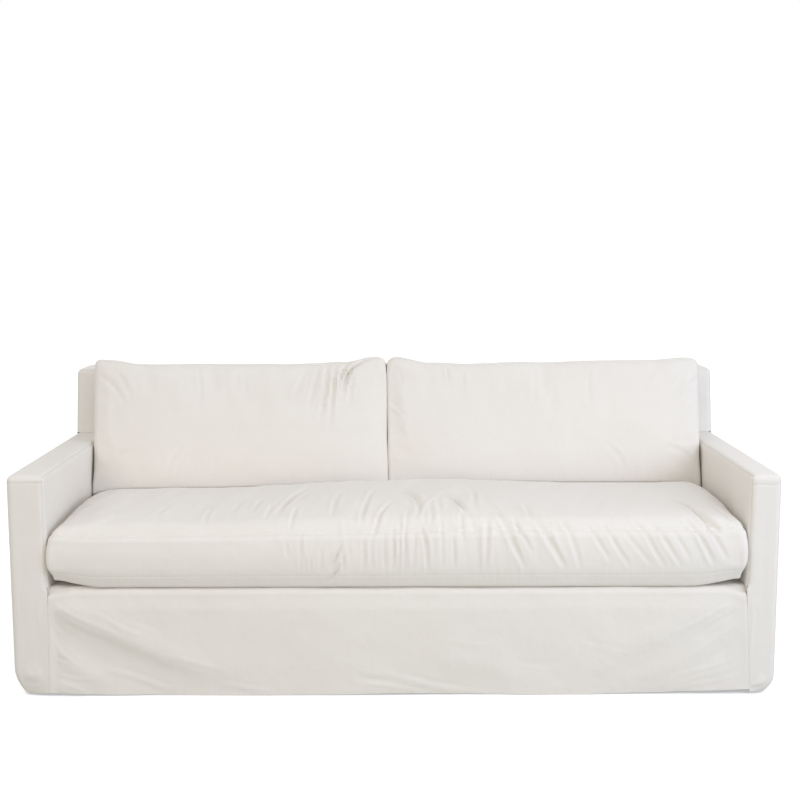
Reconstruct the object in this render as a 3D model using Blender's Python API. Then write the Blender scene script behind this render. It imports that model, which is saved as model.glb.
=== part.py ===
"""Slipcover set for a track-arm sofa, in metres: the hollow body cover in its sewn panels, one bench
seat cushion and two back cushions. +X is to the viewer's right, +Y to the back and +Z up. Sizes are
worked out above the floor and from the front face; each object then sits with its origin at the middle
of the back's top strip, on its underside, where the sofa carries the cover."""

import math
from collections import namedtuple

import bmesh
import bpy
from mathutils import Vector

# Driving sizes of the body cover
WIDTH = 2.13            # over both arms
DEPTH = 0.96            # front face to outside back
ARM_TOP = 0.663         # heights are above the floor
BACK_TOP = 0.872
DECK_TOP = 0.346
HEM = 0.044             # the usual height of the lower edge
BACK_THICK = 0.16       # the back at its top, front to rear
BACK_LEAN = 0.10        # how much further forward the inside back is at the deck
CLOTH = 0.0028          # heavy cotton with its seam allowances
SEAM_GAP = 0.0004       # between the edges of neighbouring panels
EDGE_ROLL = 0.015       # radius of the arms' and the back's edges
EDGE_INSET = 0.0005     # how far a panel stops short of the sharp edge that it rolls over to
FRONT_ROLL = 0.022      # radius of the skirt's roll over the seat's front edge
SKIRT_TURN_IN = 0.036   # how far the skirt lies back over the deck
SEAM_BLEND = 0.030      # height over which the arm front's rolled inner edge flattens into the skirt's seam
HALF = WIDTH / 2
FAR = 9.0               # an edge that is not rolled is put out of reach

# Spacing of the cloth's stations
FINE = 0.024
HANGING = 0.034         # below the deck
MIDDLE = 0.09
REAR = 0.117            # up the outside back
COARSE = 0.16
SLANT_FROM = 0.60       # the inside arm's stations from here back, as far as SLANT_TO, are stretched
SLANT_TO = 0.70         # to end along the leaning back
ARM_FRONT_SHARES = (0.0, 0.06, 0.14, 0.38, 0.62, 0.86, 0.94, 1.0)
SKIRT_EDGE = (0.0, 0.010, 0.024)    # stations beside each seam of the skirt
SKIRT_ROLL_SHARES = (0.6, 0.3)      # stations on the skirt's roll, below its top
SKIRT_LAID_SHARES = (0.4, 1.0)      # and behind it
SEAT_STEPS = (0.058, 0.062, 0.042)      # across, back and up
CUSHION_STEPS = (0.075, 0.060, 0.050)   # share of the width, back and up

# inner: x of the face towards the seat; splay: how far the seam with the skirt moves out from there
# by the hem; drop: how far the top strip turns down over the front; tuck: how far the lower front
# corner draws in, below tuck_top
Arm = namedtuple("Arm", "name sign inner splay drop tuck tuck_top")
ARMS = (
    Arm("left", -1, -0.961, 0.006, 0.018, 0.027, 0.120),
    Arm("right", 1, 0.976, 0.017, 0.027, 0.021, 0.090),
)
LEFT, RIGHT = ARMS
TUCK_REACH = 0.24       # how far back along the side the tuck fades out
TUCK_BACK = 0.010       # how far the same corner draws back
TUCK_SHARPNESS = 1.6    # the tuck is strongest right at the hem

# Lower edge of the front skirt
HemRow = namedtuple("HemRow", "x z")
FRONT_HEM = (
    HemRow(-1.00, 0.046), HemRow(-0.74, 0.040), HemRow(-0.50, 0.037), HemRow(-0.20, 0.039),
    HemRow(0.014, 0.043), HemRow(0.30, 0.039), HemRow(0.46, 0.037), HemRow(0.69, 0.042),
    HemRow(0.85, 0.047), HemRow(1.05, 0.055),
)

# Folds, each a soft ridge along a path that runs left to right, in x and z on the front face.
# trough is the hollow under the ridge, as a share of its height; rise and fade are the shares of the
# path over which the fold grows and dies away
Fold = namedtuple("Fold", "path height width trough rise fade")
HOLLOW_AT = 1.5         # how many widths below the ridge its hollow lies
HOLLOW_SPREAD = 1.2
SKIRT_FOLDS = (
    Fold(((-0.955, 0.318), (-0.884, 0.271), (-0.816, 0.242), (-0.684, 0.182), (-0.552, 0.132),
          (-0.449, 0.106), (-0.316, 0.073)), 0.018, 0.027, 0.75, 0.10, 0.60),
    Fold(((-0.953, 0.200), (-0.903, 0.139), (-0.843, 0.101), (-0.768, 0.089)), 0.010, 0.020, 0.6, 0.2, 0.5),
    Fold(((-0.950, 0.075), (-0.900, 0.062), (-0.840, 0.045)), 0.008, 0.018, 0.5, 0.2, 0.4),
    Fold(((0.067, 0.171), (0.162, 0.147), (0.296, 0.127), (0.360, 0.118)), 0.008, 0.030, 1.0, 0.35, 0.35),
    Fold(((0.500, 0.090), (0.570, 0.126), (0.650, 0.184), (0.770, 0.225), (0.955, 0.315)),
         0.012, 0.026, 0.8, 0.40, 0.12),
    Fold(((0.560, 0.058), (0.704, 0.105), (0.870, 0.183), (0.965, 0.262)), 0.013, 0.024, 0.8, 0.35, 0.15),
    Fold(((0.660, 0.052), (0.790, 0.090), (0.965, 0.135)), 0.009, 0.022, 0.7, 0.35, 0.20),
)
SKIRT_DIP = 0.011       # how far the roll sinks beside each arm
DIP_REACH = 0.045

ARM_FRONT_FOLDS = {
    "left": (Fold(((-1.045, 0.108), (-1.010, 0.094), (-0.975, 0.104)), 0.007, 0.020, 0.5, 0.3, 0.3),),
    "right": (Fold(((0.995, 0.075), (1.020, 0.066), (1.045, 0.082)), 0.005, 0.018, 0.5, 0.3, 0.3),),
}

# Loose swing of the panels that hang to the floor at the sides and the rear
SWAY = 0.007
SWAY_LENGTH = 0.36
SLOW_SWAY = 2.7         # how much longer the slower of its two waves is
SLOW_SHARE = 0.4        # and how much of the swing it makes
SWAY_TOP = 0.42         # the height at which the swing starts

# Seat cushion. Its back third is pressed down by the back cushions
SEAT_LEFT = -0.957
SEAT_RIGHT = 0.972
SEAT_FRONT = 0.000
SEAT_REAR = 0.690
SEAT_BOTTOM = DECK_TOP + 0.0015
SEAT_SEAM = 0.512       # top of the boxing
SEAT_CROWN = 0.046      # height of the crown over the seam
SEAT_HUMP = 0.019       # more of it in the middle of the bench
HUMP_REACH = 0.62
SEAT_TOP_ROLL = 0.018
SEAT_BOTTOM_ROLL = 0.024
SEAT_FRONT_BULGE = 0.013
SEAT_END_BULGE = 0.001
CROWN_FRONT = 0.30      # how far from the front, and from an end, the crown rises
CROWN_END = 0.15
CROWN_FALL = 0.30       # where it starts to fall towards the rear, and over what length
CROWN_FALL_LENGTH = 0.40
REAR_SINK = 0.008       # how far the back cushions press the rear edge down, from where
REAR_SINK_FROM = 0.45
CROWN_SHARPNESS = 0.6
CORNER_REACH = 0.08     # the front corners draw in and lift off the deck
CORNER_DRAW = 0.004
CORNER_LIFT = 0.016
CORNER_LIFT_REACH = 0.24    # from the front back

# Rise and fall of the boxing's top seam along the seat
SeamRow = namedtuple("SeamRow", "x lift")
SEAT_SEAM_ROWS = (
    SeamRow(-0.95, -0.012), SeamRow(-0.60, -0.009), SeamRow(-0.10, -0.002), SeamRow(0.25, 0.006),
    SeamRow(0.60, 0.002), SeamRow(0.97, -0.006),
)

# Back cushions lean on the inside back and stand on the seat cushion
CUSHION_FOOT_Y = 0.525
CUSHION_FOOT_Z = 0.5485
CUSHION_HEIGHT = 0.370
CUSHION_THICK = 0.196
CUSHION_ROLL = 0.022
CUSHION_CROWN = 0.026
CUSHION_JOIN_TOP = -0.026   # x where the two meet, at their top and at their foot
CUSHION_JOIN_FOOT = -0.019
CUSHION_JOIN_GAP = 0.0016
CUSHION_EDGE_REACH = 0.22
CUSHION_LEAN = math.atan2(BACK_LEAN, BACK_TOP - DECK_TOP)

# Top edge of each back cushion: share of its width from the left, and lift over its height
EarRow = namedtuple("EarRow", "share lift")
LEFT_EARS = (
    EarRow(0.0, 0.016), EarRow(0.05, 0.014), EarRow(0.16, 0.001), EarRow(0.30, 0.000), EarRow(0.70, 0.001),
    EarRow(0.86, 0.006), EarRow(0.96, 0.023), EarRow(1.0, 0.019),
)
RIGHT_EARS = (
    EarRow(0.0, 0.016), EarRow(0.03, 0.021), EarRow(0.14, 0.003), EarRow(0.26, -0.001), EarRow(0.50, 0.005),
    EarRow(0.84, 0.010), EarRow(0.95, 0.018), EarRow(1.0, 0.014),
)

COTTON = (0.80, 0.785, 0.74)
COTTON_SHADE = (0.77, 0.755, 0.71)
COTTON_ROUGHNESS = 0.85

ORIGIN = Vector((0.0, DEPTH - BACK_THICK / 2, BACK_TOP - CLOTH))


# ---- small mathematics ----

def smooth(t):
    """0 below t = 0, 1 above t = 1 and a soft step between."""
    t = min(max(t, 0.0), 1.0)
    return t * t * (3 - 2 * t)


def mix(a, b, t):
    return a + (b - a) * t


def read_table(rows, at):
    """The second column at a value of the first, softly stepped from row to row."""
    for before, after in zip(rows, rows[1:]):
        if at <= after[0]:
            return mix(before[1], after[1], smooth((at - before[0]) / (after[0] - before[0])))
    return rows[-1][1]


def stations(low, high, step, roll_low=0.0, roll_high=0.0):
    """Places from low to high, closer together across a rolled edge at either end."""
    first = low + roll_low
    last = high - roll_high
    count = max(1, round((last - first) / step))
    middle = [mix(first, last, k / count) for k in range(count + 1)]
    start = [low, low + roll_low / 2] if roll_low else []
    end = [high - roll_high / 2, high] if roll_high else []
    return start + middle + end


def rolled(q, r, x=(-FAR, FAR), y=(-FAR, FAR), z=(-FAR, FAR)):
    """Where a point of a sharp box goes once its edges are rounded to radius r, and the way out there."""
    core = Vector([min(max(at, low + r), high - r) for at, (low, high) in zip(q, (x, y, z))])
    out = (Vector(q) - core).normalized()
    return core + out * r, out


def fold_height(folds, x, z):
    """Height of all the folds at a place on a panel."""
    total = 0.0
    for fold in folds:
        best = None
        pieces = len(fold.path) - 1
        for k in range(pieces):
            a = Vector(fold.path[k])
            run = Vector(fold.path[k + 1]) - a
            away = Vector((x, z)) - a
            share = min(max(away.dot(run) / run.dot(run), 0.0), 1.0)
            rest = away - run * share
            if best is None or rest.length < best[0]:
                side = 1.0 if run.x * away.y - run.y * away.x > 0 else -1.0
                best = (rest.length, side, (k + share) / pieces)
        distance, side, along = best
        across = distance * side / fold.width
        ridge = math.exp(-across * across)
        hollow = fold.trough * math.exp(-(across + HOLLOW_AT) ** 2 / HOLLOW_SPREAD)
        strength = smooth(along / fold.rise) * smooth((1 - along) / fold.fade)
        total += fold.height * strength * (ridge - hollow)
    return total


# ---- makers of solids ----

def new_collection(name):
    collection = bpy.data.collections.new(name)
    bpy.context.scene.collection.children.link(collection)
    return collection


def add_object(name, mesh_data, colour, collection):
    """Turns a closed bmesh into a named object with its own cotton, at the set's origin."""
    bmesh.ops.recalc_face_normals(mesh_data, faces=mesh_data.faces[:])
    if mesh_data.calc_volume(signed=True) < 0:
        bmesh.ops.reverse_faces(mesh_data, faces=mesh_data.faces[:])
    mesh = bpy.data.meshes.new(name)
    mesh_data.to_mesh(mesh)
    mesh_data.free()
    mesh.shade_smooth()
    material = bpy.data.materials.new(name + "_cotton")
    material.use_nodes = True
    shader = material.node_tree.nodes["Principled BSDF"]
    shader.inputs["Base Color"].default_value = (*colour, 1.0)
    shader.inputs["Roughness"].default_value = COTTON_ROUGHNESS
    shader.inputs["Metallic"].default_value = 0.0
    mesh.materials.append(material)
    piece = bpy.data.objects.new(name, mesh)
    piece.location = -ORIGIN
    collection.objects.link(piece)
    return piece


def panel(name, us, vs, surface, collection, keep=None, colour=COTTON):
    """A sheet of cloth: a grid laid on surface(u, v), which gives the outer point and the way out there,
    with an inner layer one cloth's thickness behind it. keep(u, v) says which cells are cloth."""
    sheet = bmesh.new()
    bmesh.ops.create_grid(sheet, x_segments=len(us) - 1, y_segments=len(vs) - 1, size=1.0)
    at_u = sheet.verts.layers.float.new("u")
    at_v = sheet.verts.layers.float.new("v")
    for vert in sheet.verts:
        vert[at_u] = us[round((vert.co.x + 1) / 2 * (len(us) - 1))]
        vert[at_v] = vs[round((vert.co.y + 1) / 2 * (len(vs) - 1))]
    if keep:
        cut = []
        for face in sheet.faces:
            u = sum(vert[at_u] for vert in face.verts) / 4
            v = sum(vert[at_v] for vert in face.verts) / 4
            if not keep(u, v):
                cut.append(face)
        bmesh.ops.delete(sheet, geom=cut, context="FACES")
    for vert in sheet.verts:
        vert.co = surface(vert[at_u], vert[at_v])[0]
    bmesh.ops.triangulate(sheet, faces=sheet.faces[:], quad_method="BEAUTY")
    made = bmesh.ops.extrude_face_region(sheet, geom=sheet.faces[:], use_keep_orig=True)
    for item in made["geom"]:
        if isinstance(item, bmesh.types.BMVert):
            point, out = surface(item[at_u], item[at_v])
            item.co = point - out * CLOTH
    return add_object(name, sheet, colour, collection)


def filled(name, xs, ys, zs, shape, collection, colour=COTTON):
    """A filled cushion: a block cut at its stations, each point of its skin moved by shape(x, y, z)."""
    block = bmesh.new()
    bmesh.ops.create_cube(block, size=1.0)
    for vert in block.verts:
        vert.co = [ends[0] if at < 0 else ends[-1] for at, ends in zip(vert.co, (xs, ys, zs))]
    for axis, places in enumerate((xs, ys, zs)):
        normal = Vector([1.0 if k == axis else 0.0 for k in range(3)])
        for place in places[1:-1]:
            everything = block.verts[:] + block.edges[:] + block.faces[:]
            bmesh.ops.bisect_plane(block, geom=everything, plane_co=normal * place, plane_no=normal)
    for vert in block.verts:
        vert.co = shape(*vert.co)
    return add_object(name, block, colour, collection)


# ---- arms: worked out from the outer face inwards, then placed left or right ----

def arm_width(arm):
    return HALF - abs(arm.inner)


def back_front(z):
    """y of the inside back at a height."""
    return DEPTH - BACK_THICK - BACK_LEAN * (BACK_TOP - z) / (BACK_TOP - DECK_TOP)


def seam_across(arm, z):
    """How far in from the outer face the arm front ends at a height. It narrows below the deck."""
    return arm_width(arm) - arm.splay * max(0.0, DECK_TOP - z) / (DECK_TOP - HEM)


def seam_blend(z):
    """0 where the arm's inner edge is free above the deck, 1 where it is sewn to the skirt."""
    return smooth((DECK_TOP - z) / SEAM_BLEND)


def to_arm(arm, point, out):
    """From the arm's own measure (in from the outer face, back, up) to the set's, with the drawn-in
    lower front corner."""
    near = (1 - smooth(point.y / TUCK_REACH)) * max(0.0, 1 - point.x / seam_across(arm, point.z))
    draw = smooth((arm.tuck_top - point.z) / (arm.tuck_top - HEM)) ** TUCK_SHARPNESS * near
    across = point.x + arm.tuck * draw
    settled = Vector((arm.sign * (HALF - across), point.y + TUCK_BACK * draw, point.z))
    return settled, Vector((-arm.sign * out.x, out.y, out.z))


def sway(along, z, phase):
    """Loose swing of a hanging panel, none at its top."""
    wave = math.sin(2 * math.pi * along / SWAY_LENGTH + phase)
    slow = math.sin(2 * math.pi * along / (SLOW_SWAY * SWAY_LENGTH) + 2 * phase)
    return SWAY * smooth((SWAY_TOP - z) / SWAY_TOP) * mix(wave, slow, SLOW_SHARE)


def hanging_heights():
    """Stations below the deck, the same on the panels that meet at the drawn-in front corner."""
    return stations(HEM, DECK_TOP - SEAM_BLEND, HANGING)


def outside_arm(arm, collection):
    def surface(y, z):
        behind = smooth((y - back_front(ARM_TOP)) / EDGE_ROLL)
        point, out = rolled((0.0, y, z), EDGE_ROLL, x=(0.0, FAR), y=(0.0, DEPTH),
                            z=(-FAR, ARM_TOP + EDGE_ROLL * behind))
        edge = smooth(y / TUCK_REACH) * smooth((DEPTH - y) / TUCK_REACH)
        point = point + out * sway(y, z, arm.sign) * edge
        return to_arm(arm, point, out)

    turn = back_front(ARM_TOP)
    ys = stations(EDGE_INSET, turn, MIDDLE, EDGE_ROLL)
    ys += stations(turn + EDGE_ROLL, DEPTH - EDGE_INSET, MIDDLE, 0.0, EDGE_ROLL)
    zs = hanging_heights() + stations(DECK_TOP, ARM_TOP - EDGE_INSET, COARSE, 0.0, EDGE_ROLL)
    panel("outside_arm_" + arm.name, ys, zs, surface, collection)


def arm_top(arm, collection):
    """The strip runs forward along the top (v is y) and turns down over the front (v below 0)."""
    width = arm_width(arm)

    def surface(across, v):
        q = (across, max(v, 0.0), ARM_TOP + min(v, 0.0))
        point, out = rolled(q, EDGE_ROLL, x=(0.0, width), y=(0.0, FAR), z=(-FAR, ARM_TOP))
        return to_arm(arm, point, out)

    rear = back_front(ARM_TOP) - SEAM_GAP
    xs = stations(EDGE_INSET, width - EDGE_INSET, MIDDLE, EDGE_ROLL, EDGE_ROLL)
    vs = [-arm.drop, -EDGE_ROLL, -EDGE_ROLL / 2] + stations(0.0, rear, COARSE, EDGE_ROLL)
    panel("arm_top_" + arm.name, xs, vs, surface, collection)


def inside_arm(arm, collection):
    width = arm_width(arm)

    def surface(u, z):
        rear = back_front(z) - SEAM_GAP
        y = u if u < SLANT_FROM else mix(SLANT_FROM, rear, (u - SLANT_FROM) / (SLANT_TO - SLANT_FROM))
        point, out = rolled((width, y, z), EDGE_ROLL, x=(-FAR, width), y=(0.0, FAR), z=(-FAR, ARM_TOP))
        return to_arm(arm, point, out)

    ys = stations(EDGE_INSET, SLANT_TO, COARSE, EDGE_ROLL)
    zs = stations(DECK_TOP + SEAM_GAP, ARM_TOP - EDGE_INSET, COARSE, 0.0, EDGE_ROLL)
    panel("inside_arm_" + arm.name, ys, zs, surface, collection)


def arm_front(arm, collection):
    folds = ARM_FRONT_FOLDS[arm.name]

    def surface(share, z):
        blend = seam_blend(z)
        end = seam_across(arm, z)
        across = mix(EDGE_INSET, end - mix(EDGE_INSET, SEAM_GAP / 2, blend), share)
        point, out = rolled((across, 0.0, z), EDGE_ROLL, x=(0.0, end + EDGE_ROLL * blend), y=(0.0, FAR))
        middle = math.sin(math.pi * share)
        point = point + out * fold_height(folds, arm.sign * (HALF - across), z) * middle
        return to_arm(arm, point, out)

    top = ARM_TOP - arm.drop - SEAM_GAP
    zs = hanging_heights() + [DECK_TOP - SEAM_BLEND / 2] + stations(DECK_TOP, top, COARSE)
    panel("arm_front_" + arm.name, ARM_FRONT_SHARES, zs, surface, collection)


# ---- back ----

def lean(point, out):
    """Draws the back's front side forward towards the deck; its rear stays upright."""
    share = (DEPTH - point.y) / BACK_THICK
    shift = BACK_LEAN * (BACK_TOP - point.z) / (BACK_TOP - DECK_TOP) * share
    return Vector((point.x, point.y - shift, point.z)), out


def back_point(q):
    return rolled(q, EDGE_ROLL, x=(-HALF, HALF), y=(DEPTH - BACK_THICK, DEPTH), z=(-FAR, BACK_TOP))


def inside_back(collection):
    left = LEFT.inner + SEAM_GAP
    right = RIGHT.inner - SEAM_GAP
    notch = ARM_TOP + SEAM_GAP

    def surface(x, z):
        return lean(*back_point((x, DEPTH - BACK_THICK, z)))

    def is_cloth(x, z):
        return z > notch or left < x < right

    edge = HALF - EDGE_INSET
    xs = stations(-edge, left, MIDDLE, EDGE_ROLL) + stations(left, right, COARSE)[1:]
    xs += stations(right, edge, MIDDLE, 0.0, EDGE_ROLL)[1:]
    zs = stations(DECK_TOP + SEAM_GAP, notch, COARSE)
    zs += stations(notch, BACK_TOP - EDGE_INSET, MIDDLE, 0.0, EDGE_ROLL)[1:]
    panel("inside_back", xs, zs, surface, collection, keep=is_cloth)


def back_top(collection):
    def surface(x, y):
        return lean(*back_point((x, y, BACK_TOP)))

    front = DEPTH - BACK_THICK + EDGE_INSET
    xs = stations(EDGE_INSET - HALF, HALF - EDGE_INSET, COARSE, EDGE_ROLL, EDGE_ROLL)
    ys = stations(front, DEPTH - EDGE_INSET, MIDDLE, EDGE_ROLL, EDGE_ROLL)
    panel("back_top", xs, ys, surface, collection)


def back_side(arm, collection):
    def surface(y, z):
        return lean(*back_point((arm.sign * HALF, y, z)))

    front = DEPTH - BACK_THICK + EDGE_INSET
    ys = stations(front, DEPTH - EDGE_INSET, MIDDLE, EDGE_ROLL, EDGE_ROLL)
    zs = stations(ARM_TOP + SEAM_GAP, BACK_TOP - EDGE_INSET, MIDDLE, 0.0, EDGE_ROLL)
    panel("back_side_" + arm.name, ys, zs, surface, collection)


def outside_back(collection):
    def surface(x, z):
        point, out = back_point((x, DEPTH, z))
        edge = smooth((HALF - abs(x)) / TUCK_REACH)
        return point + out * sway(x, z, 0.5) * edge, out

    xs = stations(EDGE_INSET - HALF, HALF - EDGE_INSET, MIDDLE, EDGE_ROLL, EDGE_ROLL)
    zs = stations(HEM, BACK_TOP - EDGE_INSET, REAR, 0.0, EDGE_ROLL)
    panel("outside_back", xs, zs, surface, collection)


# ---- deck and front skirt ----

def deck(collection):
    def surface(x, y):
        return Vector((x, y, DECK_TOP)), Vector((0.0, 0.0, 1.0))

    xs = stations(LEFT.inner + SEAM_GAP, RIGHT.inner - SEAM_GAP, 2 * COARSE)
    ys = stations(SKIRT_TURN_IN + SEAM_GAP, back_front(DECK_TOP) - SEAM_GAP, 2 * COARSE)
    panel("deck", xs, ys, surface, collection, colour=COTTON_SHADE)


def front_skirt(collection):
    """v runs from 0 at the hem to 1 at the seat's front edge, then on to 2 where it meets the deck."""
    def surface(share, v):
        hem = read_table(FRONT_HEM, mix(LEFT.inner, RIGHT.inner, share))
        z = mix(hem, DECK_TOP, min(v, 1.0))
        left = seam_across(LEFT, z) - HALF + SEAM_GAP / 2
        right = HALF - seam_across(RIGHT, z) - SEAM_GAP / 2
        x = mix(left, right, share)
        y = SKIRT_TURN_IN * max(v - 1.0, 0.0)
        point, out = rolled((x, y, z), FRONT_ROLL, y=(0.0, FAR), z=(-FAR, DECK_TOP))
        from_end = min(x - left, right - x)
        point = point + out * fold_height(SKIRT_FOLDS, x, z) * smooth(from_end / FINE)
        near_top = smooth((z - DECK_TOP + 3 * FRONT_ROLL) / (2 * FRONT_ROLL))
        flat = 1 - smooth((point.y - FRONT_ROLL / 2) / FRONT_ROLL)
        point.z -= SKIRT_DIP * (1 - smooth(from_end / DIP_REACH)) * near_top * flat
        return point, out

    fall = DECK_TOP - HEM
    width = RIGHT.inner - LEFT.inner
    near_seam = [place / width for place in SKIRT_EDGE]
    middle = DIP_REACH / width
    shares = near_seam + stations(middle, 1 - middle, FINE / width)
    shares += [1 - place for place in reversed(near_seam)]
    roll = FRONT_ROLL / fall
    vs = stations(0.0, 1 - roll, FINE / fall) + [1 - roll * part for part in SKIRT_ROLL_SHARES] + [1.0]
    vs += [1 + FRONT_ROLL * part / SKIRT_TURN_IN for part in SKIRT_LAID_SHARES] + [2.0]
    panel("front_skirt", shares, vs, surface, collection)


# ---- cushions ----

def rise(distance, reach):
    """How much of a crown has come up at a distance from the edge: steep at first, then level."""
    short = 1 - min(max(distance / reach, 0.0), 1.0)
    return (1 - short * short) ** CROWN_SHARPNESS


def seat_lift(x, y):
    """How far the seat's boxing seam stands over SEAT_SEAM."""
    sink = REAR_SINK * smooth((y - REAR_SINK_FROM) / (SEAT_REAR - REAR_SINK_FROM))
    return read_table(SEAT_SEAM_ROWS, x) - sink


def seat_crown(x, y):
    """Height of the crown over the seam."""
    hump = SEAT_HUMP * (1 - smooth(abs(x) / HUMP_REACH))
    from_end = min(x - SEAT_LEFT, SEAT_RIGHT - x)
    full = (SEAT_CROWN + hump) * rise(from_end, CROWN_END) * rise(y - SEAT_FRONT, CROWN_FRONT)
    fall = min(max((y - CROWN_FALL) / CROWN_FALL_LENGTH, 0.0), 1.0)
    return full * math.cos(fall * math.pi / 2) ** 2


def seat_cushion(collection):
    def shape(x, y, z):
        up = (z - SEAT_BOTTOM) / (SEAT_SEAM - SEAT_BOTTOM)
        roll = mix(SEAT_BOTTOM_ROLL, SEAT_TOP_ROLL, smooth(up))
        point, out = rolled((x, y, z), roll, x=(SEAT_LEFT, SEAT_RIGHT), y=(SEAT_FRONT, SEAT_REAR),
                            z=(SEAT_BOTTOM, SEAT_SEAM))
        x, y = point.x, point.y
        from_end = min(x - SEAT_LEFT, SEAT_RIGHT - x)
        from_front = y - SEAT_FRONT
        level = 4 * up * (1 - up)
        if z >= SEAT_SEAM:
            point.z += seat_crown(x, y)
        point.z += seat_lift(x, y) * up
        point.y -= SEAT_FRONT_BULGE * level * (1 - smooth(from_front / CORNER_REACH))
        point.x += SEAT_END_BULGE * level * out.x
        corner = smooth(1 - from_end / CORNER_REACH) * smooth(1 - from_front / CORNER_REACH)
        middle = (SEAT_LEFT + SEAT_RIGHT) / 2
        point.x -= math.copysign(CORNER_DRAW * corner, x - middle)
        point.y += CORNER_DRAW * corner
        end_lift = smooth(1 - from_end / CORNER_REACH) * smooth(1 - from_front / CORNER_LIFT_REACH)
        point.z += CORNER_LIFT * end_lift * smooth(1 - 2 * up)
        return point

    across, back, up = SEAT_STEPS
    xs = stations(SEAT_LEFT, SEAT_RIGHT, across, SEAT_BOTTOM_ROLL, SEAT_BOTTOM_ROLL)
    ys = stations(SEAT_FRONT, SEAT_REAR, back, SEAT_BOTTOM_ROLL, SEAT_BOTTOM_ROLL)
    zs = stations(SEAT_BOTTOM, SEAT_SEAM, up, SEAT_BOTTOM_ROLL, SEAT_TOP_ROLL)
    filled("seat_cushion", xs, ys, zs, shape, collection)


def back_cushion(name, outer, ears, collection):
    """Local measure: across the sofa, back from the front face, and up the lean."""
    up_way = Vector((0.0, math.sin(CUSHION_LEAN), math.cos(CUSHION_LEAN)))
    back_way = Vector((0.0, math.cos(CUSHION_LEAN), -math.sin(CUSHION_LEAN)))
    foot = Vector((0.0, CUSHION_FOOT_Y, CUSHION_FOOT_Z))
    toward_join = 1.0 if outer < 0 else -1.0

    def seat_top(x, y):
        return seat_crown(x, y) + seat_lift(x, y)

    def shape(share, depth, height):
        join = mix(CUSHION_JOIN_FOOT, CUSHION_JOIN_TOP, height / CUSHION_HEIGHT)
        join -= toward_join * CUSHION_JOIN_GAP / 2
        left, right = min(outer, join), max(outer, join)
        q = (mix(left, right, share), depth, height)
        point, out = rolled(q, CUSHION_ROLL, x=(left, right), y=(0.0, CUSHION_THICK), z=(0.0, CUSHION_HEIGHT))
        from_side = min(point.x - left, right - point.x)
        from_edge = min(point.z, CUSHION_HEIGHT - point.z)
        puff = rise(from_side, CUSHION_EDGE_REACH) * rise(from_edge, CUSHION_EDGE_REACH)
        if depth < CUSHION_THICK / 2:
            point.y -= CUSHION_CROWN * puff
        over = CUSHION_FOOT_Y + point.y
        follow = (1 - smooth(point.z / CUSHION_HEIGHT)) * (seat_top(point.x, over) - seat_top(0.0, over))
        point.z += read_table(ears, share) * smooth(2 * point.z / CUSHION_HEIGHT - 1) + follow
        return Vector((point.x, 0.0, 0.0)) + foot + back_way * point.y + up_way * point.z

    roll_share = CUSHION_ROLL / abs(outer)
    across, back, up = CUSHION_STEPS
    shares = stations(0.0, 1.0, across, roll_share, roll_share)
    depths = stations(0.0, CUSHION_THICK, back, CUSHION_ROLL, CUSHION_ROLL)
    heights = stations(0.0, CUSHION_HEIGHT, up, CUSHION_ROLL, CUSHION_ROLL)
    filled(name, shares, depths, heights, shape, collection)


def main():
    for old in list(bpy.data.objects):
        bpy.data.objects.remove(old)
    cover = new_collection("sofa_slipcover")
    for arm in ARMS:
        outside_arm(arm, cover)
        arm_top(arm, cover)
        inside_arm(arm, cover)
        arm_front(arm, cover)
        back_side(arm, cover)
    inside_back(cover)
    back_top(cover)
    outside_back(cover)
    deck(cover)
    front_skirt(cover)
    seat_cushion(cover)
    back_cushion("back_cushion_left", SEAT_LEFT, LEFT_EARS, cover)
    back_cushion("back_cushion_right", SEAT_RIGHT, RIGHT_EARS, cover)


main()
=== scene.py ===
"""Slipcover set for a track-arm sofa: every panel of the hollow cover and the three filled cushions are
made again over their solids, with the cloth's creases, sewn seams, stitching and weave. Metres; sizes are
worked out above the floor and from the front face, then moved to the frame's own origin."""

import math
from collections import namedtuple
from functools import partial

import bpy
import numpy as np
from bpy.props import FloatProperty, FloatVectorProperty, PointerProperty
from mathutils import Matrix, Vector
from mathutils.kdtree import KDTree


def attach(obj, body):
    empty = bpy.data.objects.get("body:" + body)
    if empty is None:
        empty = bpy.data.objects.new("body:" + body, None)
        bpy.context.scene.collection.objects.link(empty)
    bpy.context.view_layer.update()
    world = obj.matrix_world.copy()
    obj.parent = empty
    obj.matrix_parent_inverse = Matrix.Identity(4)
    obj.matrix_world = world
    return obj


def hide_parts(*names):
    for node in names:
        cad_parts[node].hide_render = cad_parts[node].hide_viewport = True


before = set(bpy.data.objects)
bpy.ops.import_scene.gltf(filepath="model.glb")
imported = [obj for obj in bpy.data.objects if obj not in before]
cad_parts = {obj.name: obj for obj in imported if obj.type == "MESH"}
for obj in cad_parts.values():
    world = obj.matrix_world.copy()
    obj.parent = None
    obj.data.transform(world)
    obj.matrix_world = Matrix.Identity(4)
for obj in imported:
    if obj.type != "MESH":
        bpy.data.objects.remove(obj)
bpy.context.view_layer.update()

bl_info = {
    "name": "Sofa Slipcover",
    "version": (1, 0, 0),
    "blender": (4, 5, 0),
    "location": "View3D > Sidebar > Slipcover",
    "description": "Dresses the sofa slipcover set in creased, stitched cotton",
    "category": "Object",
}

# ---- sizes of the solids, in metres ----

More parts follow.
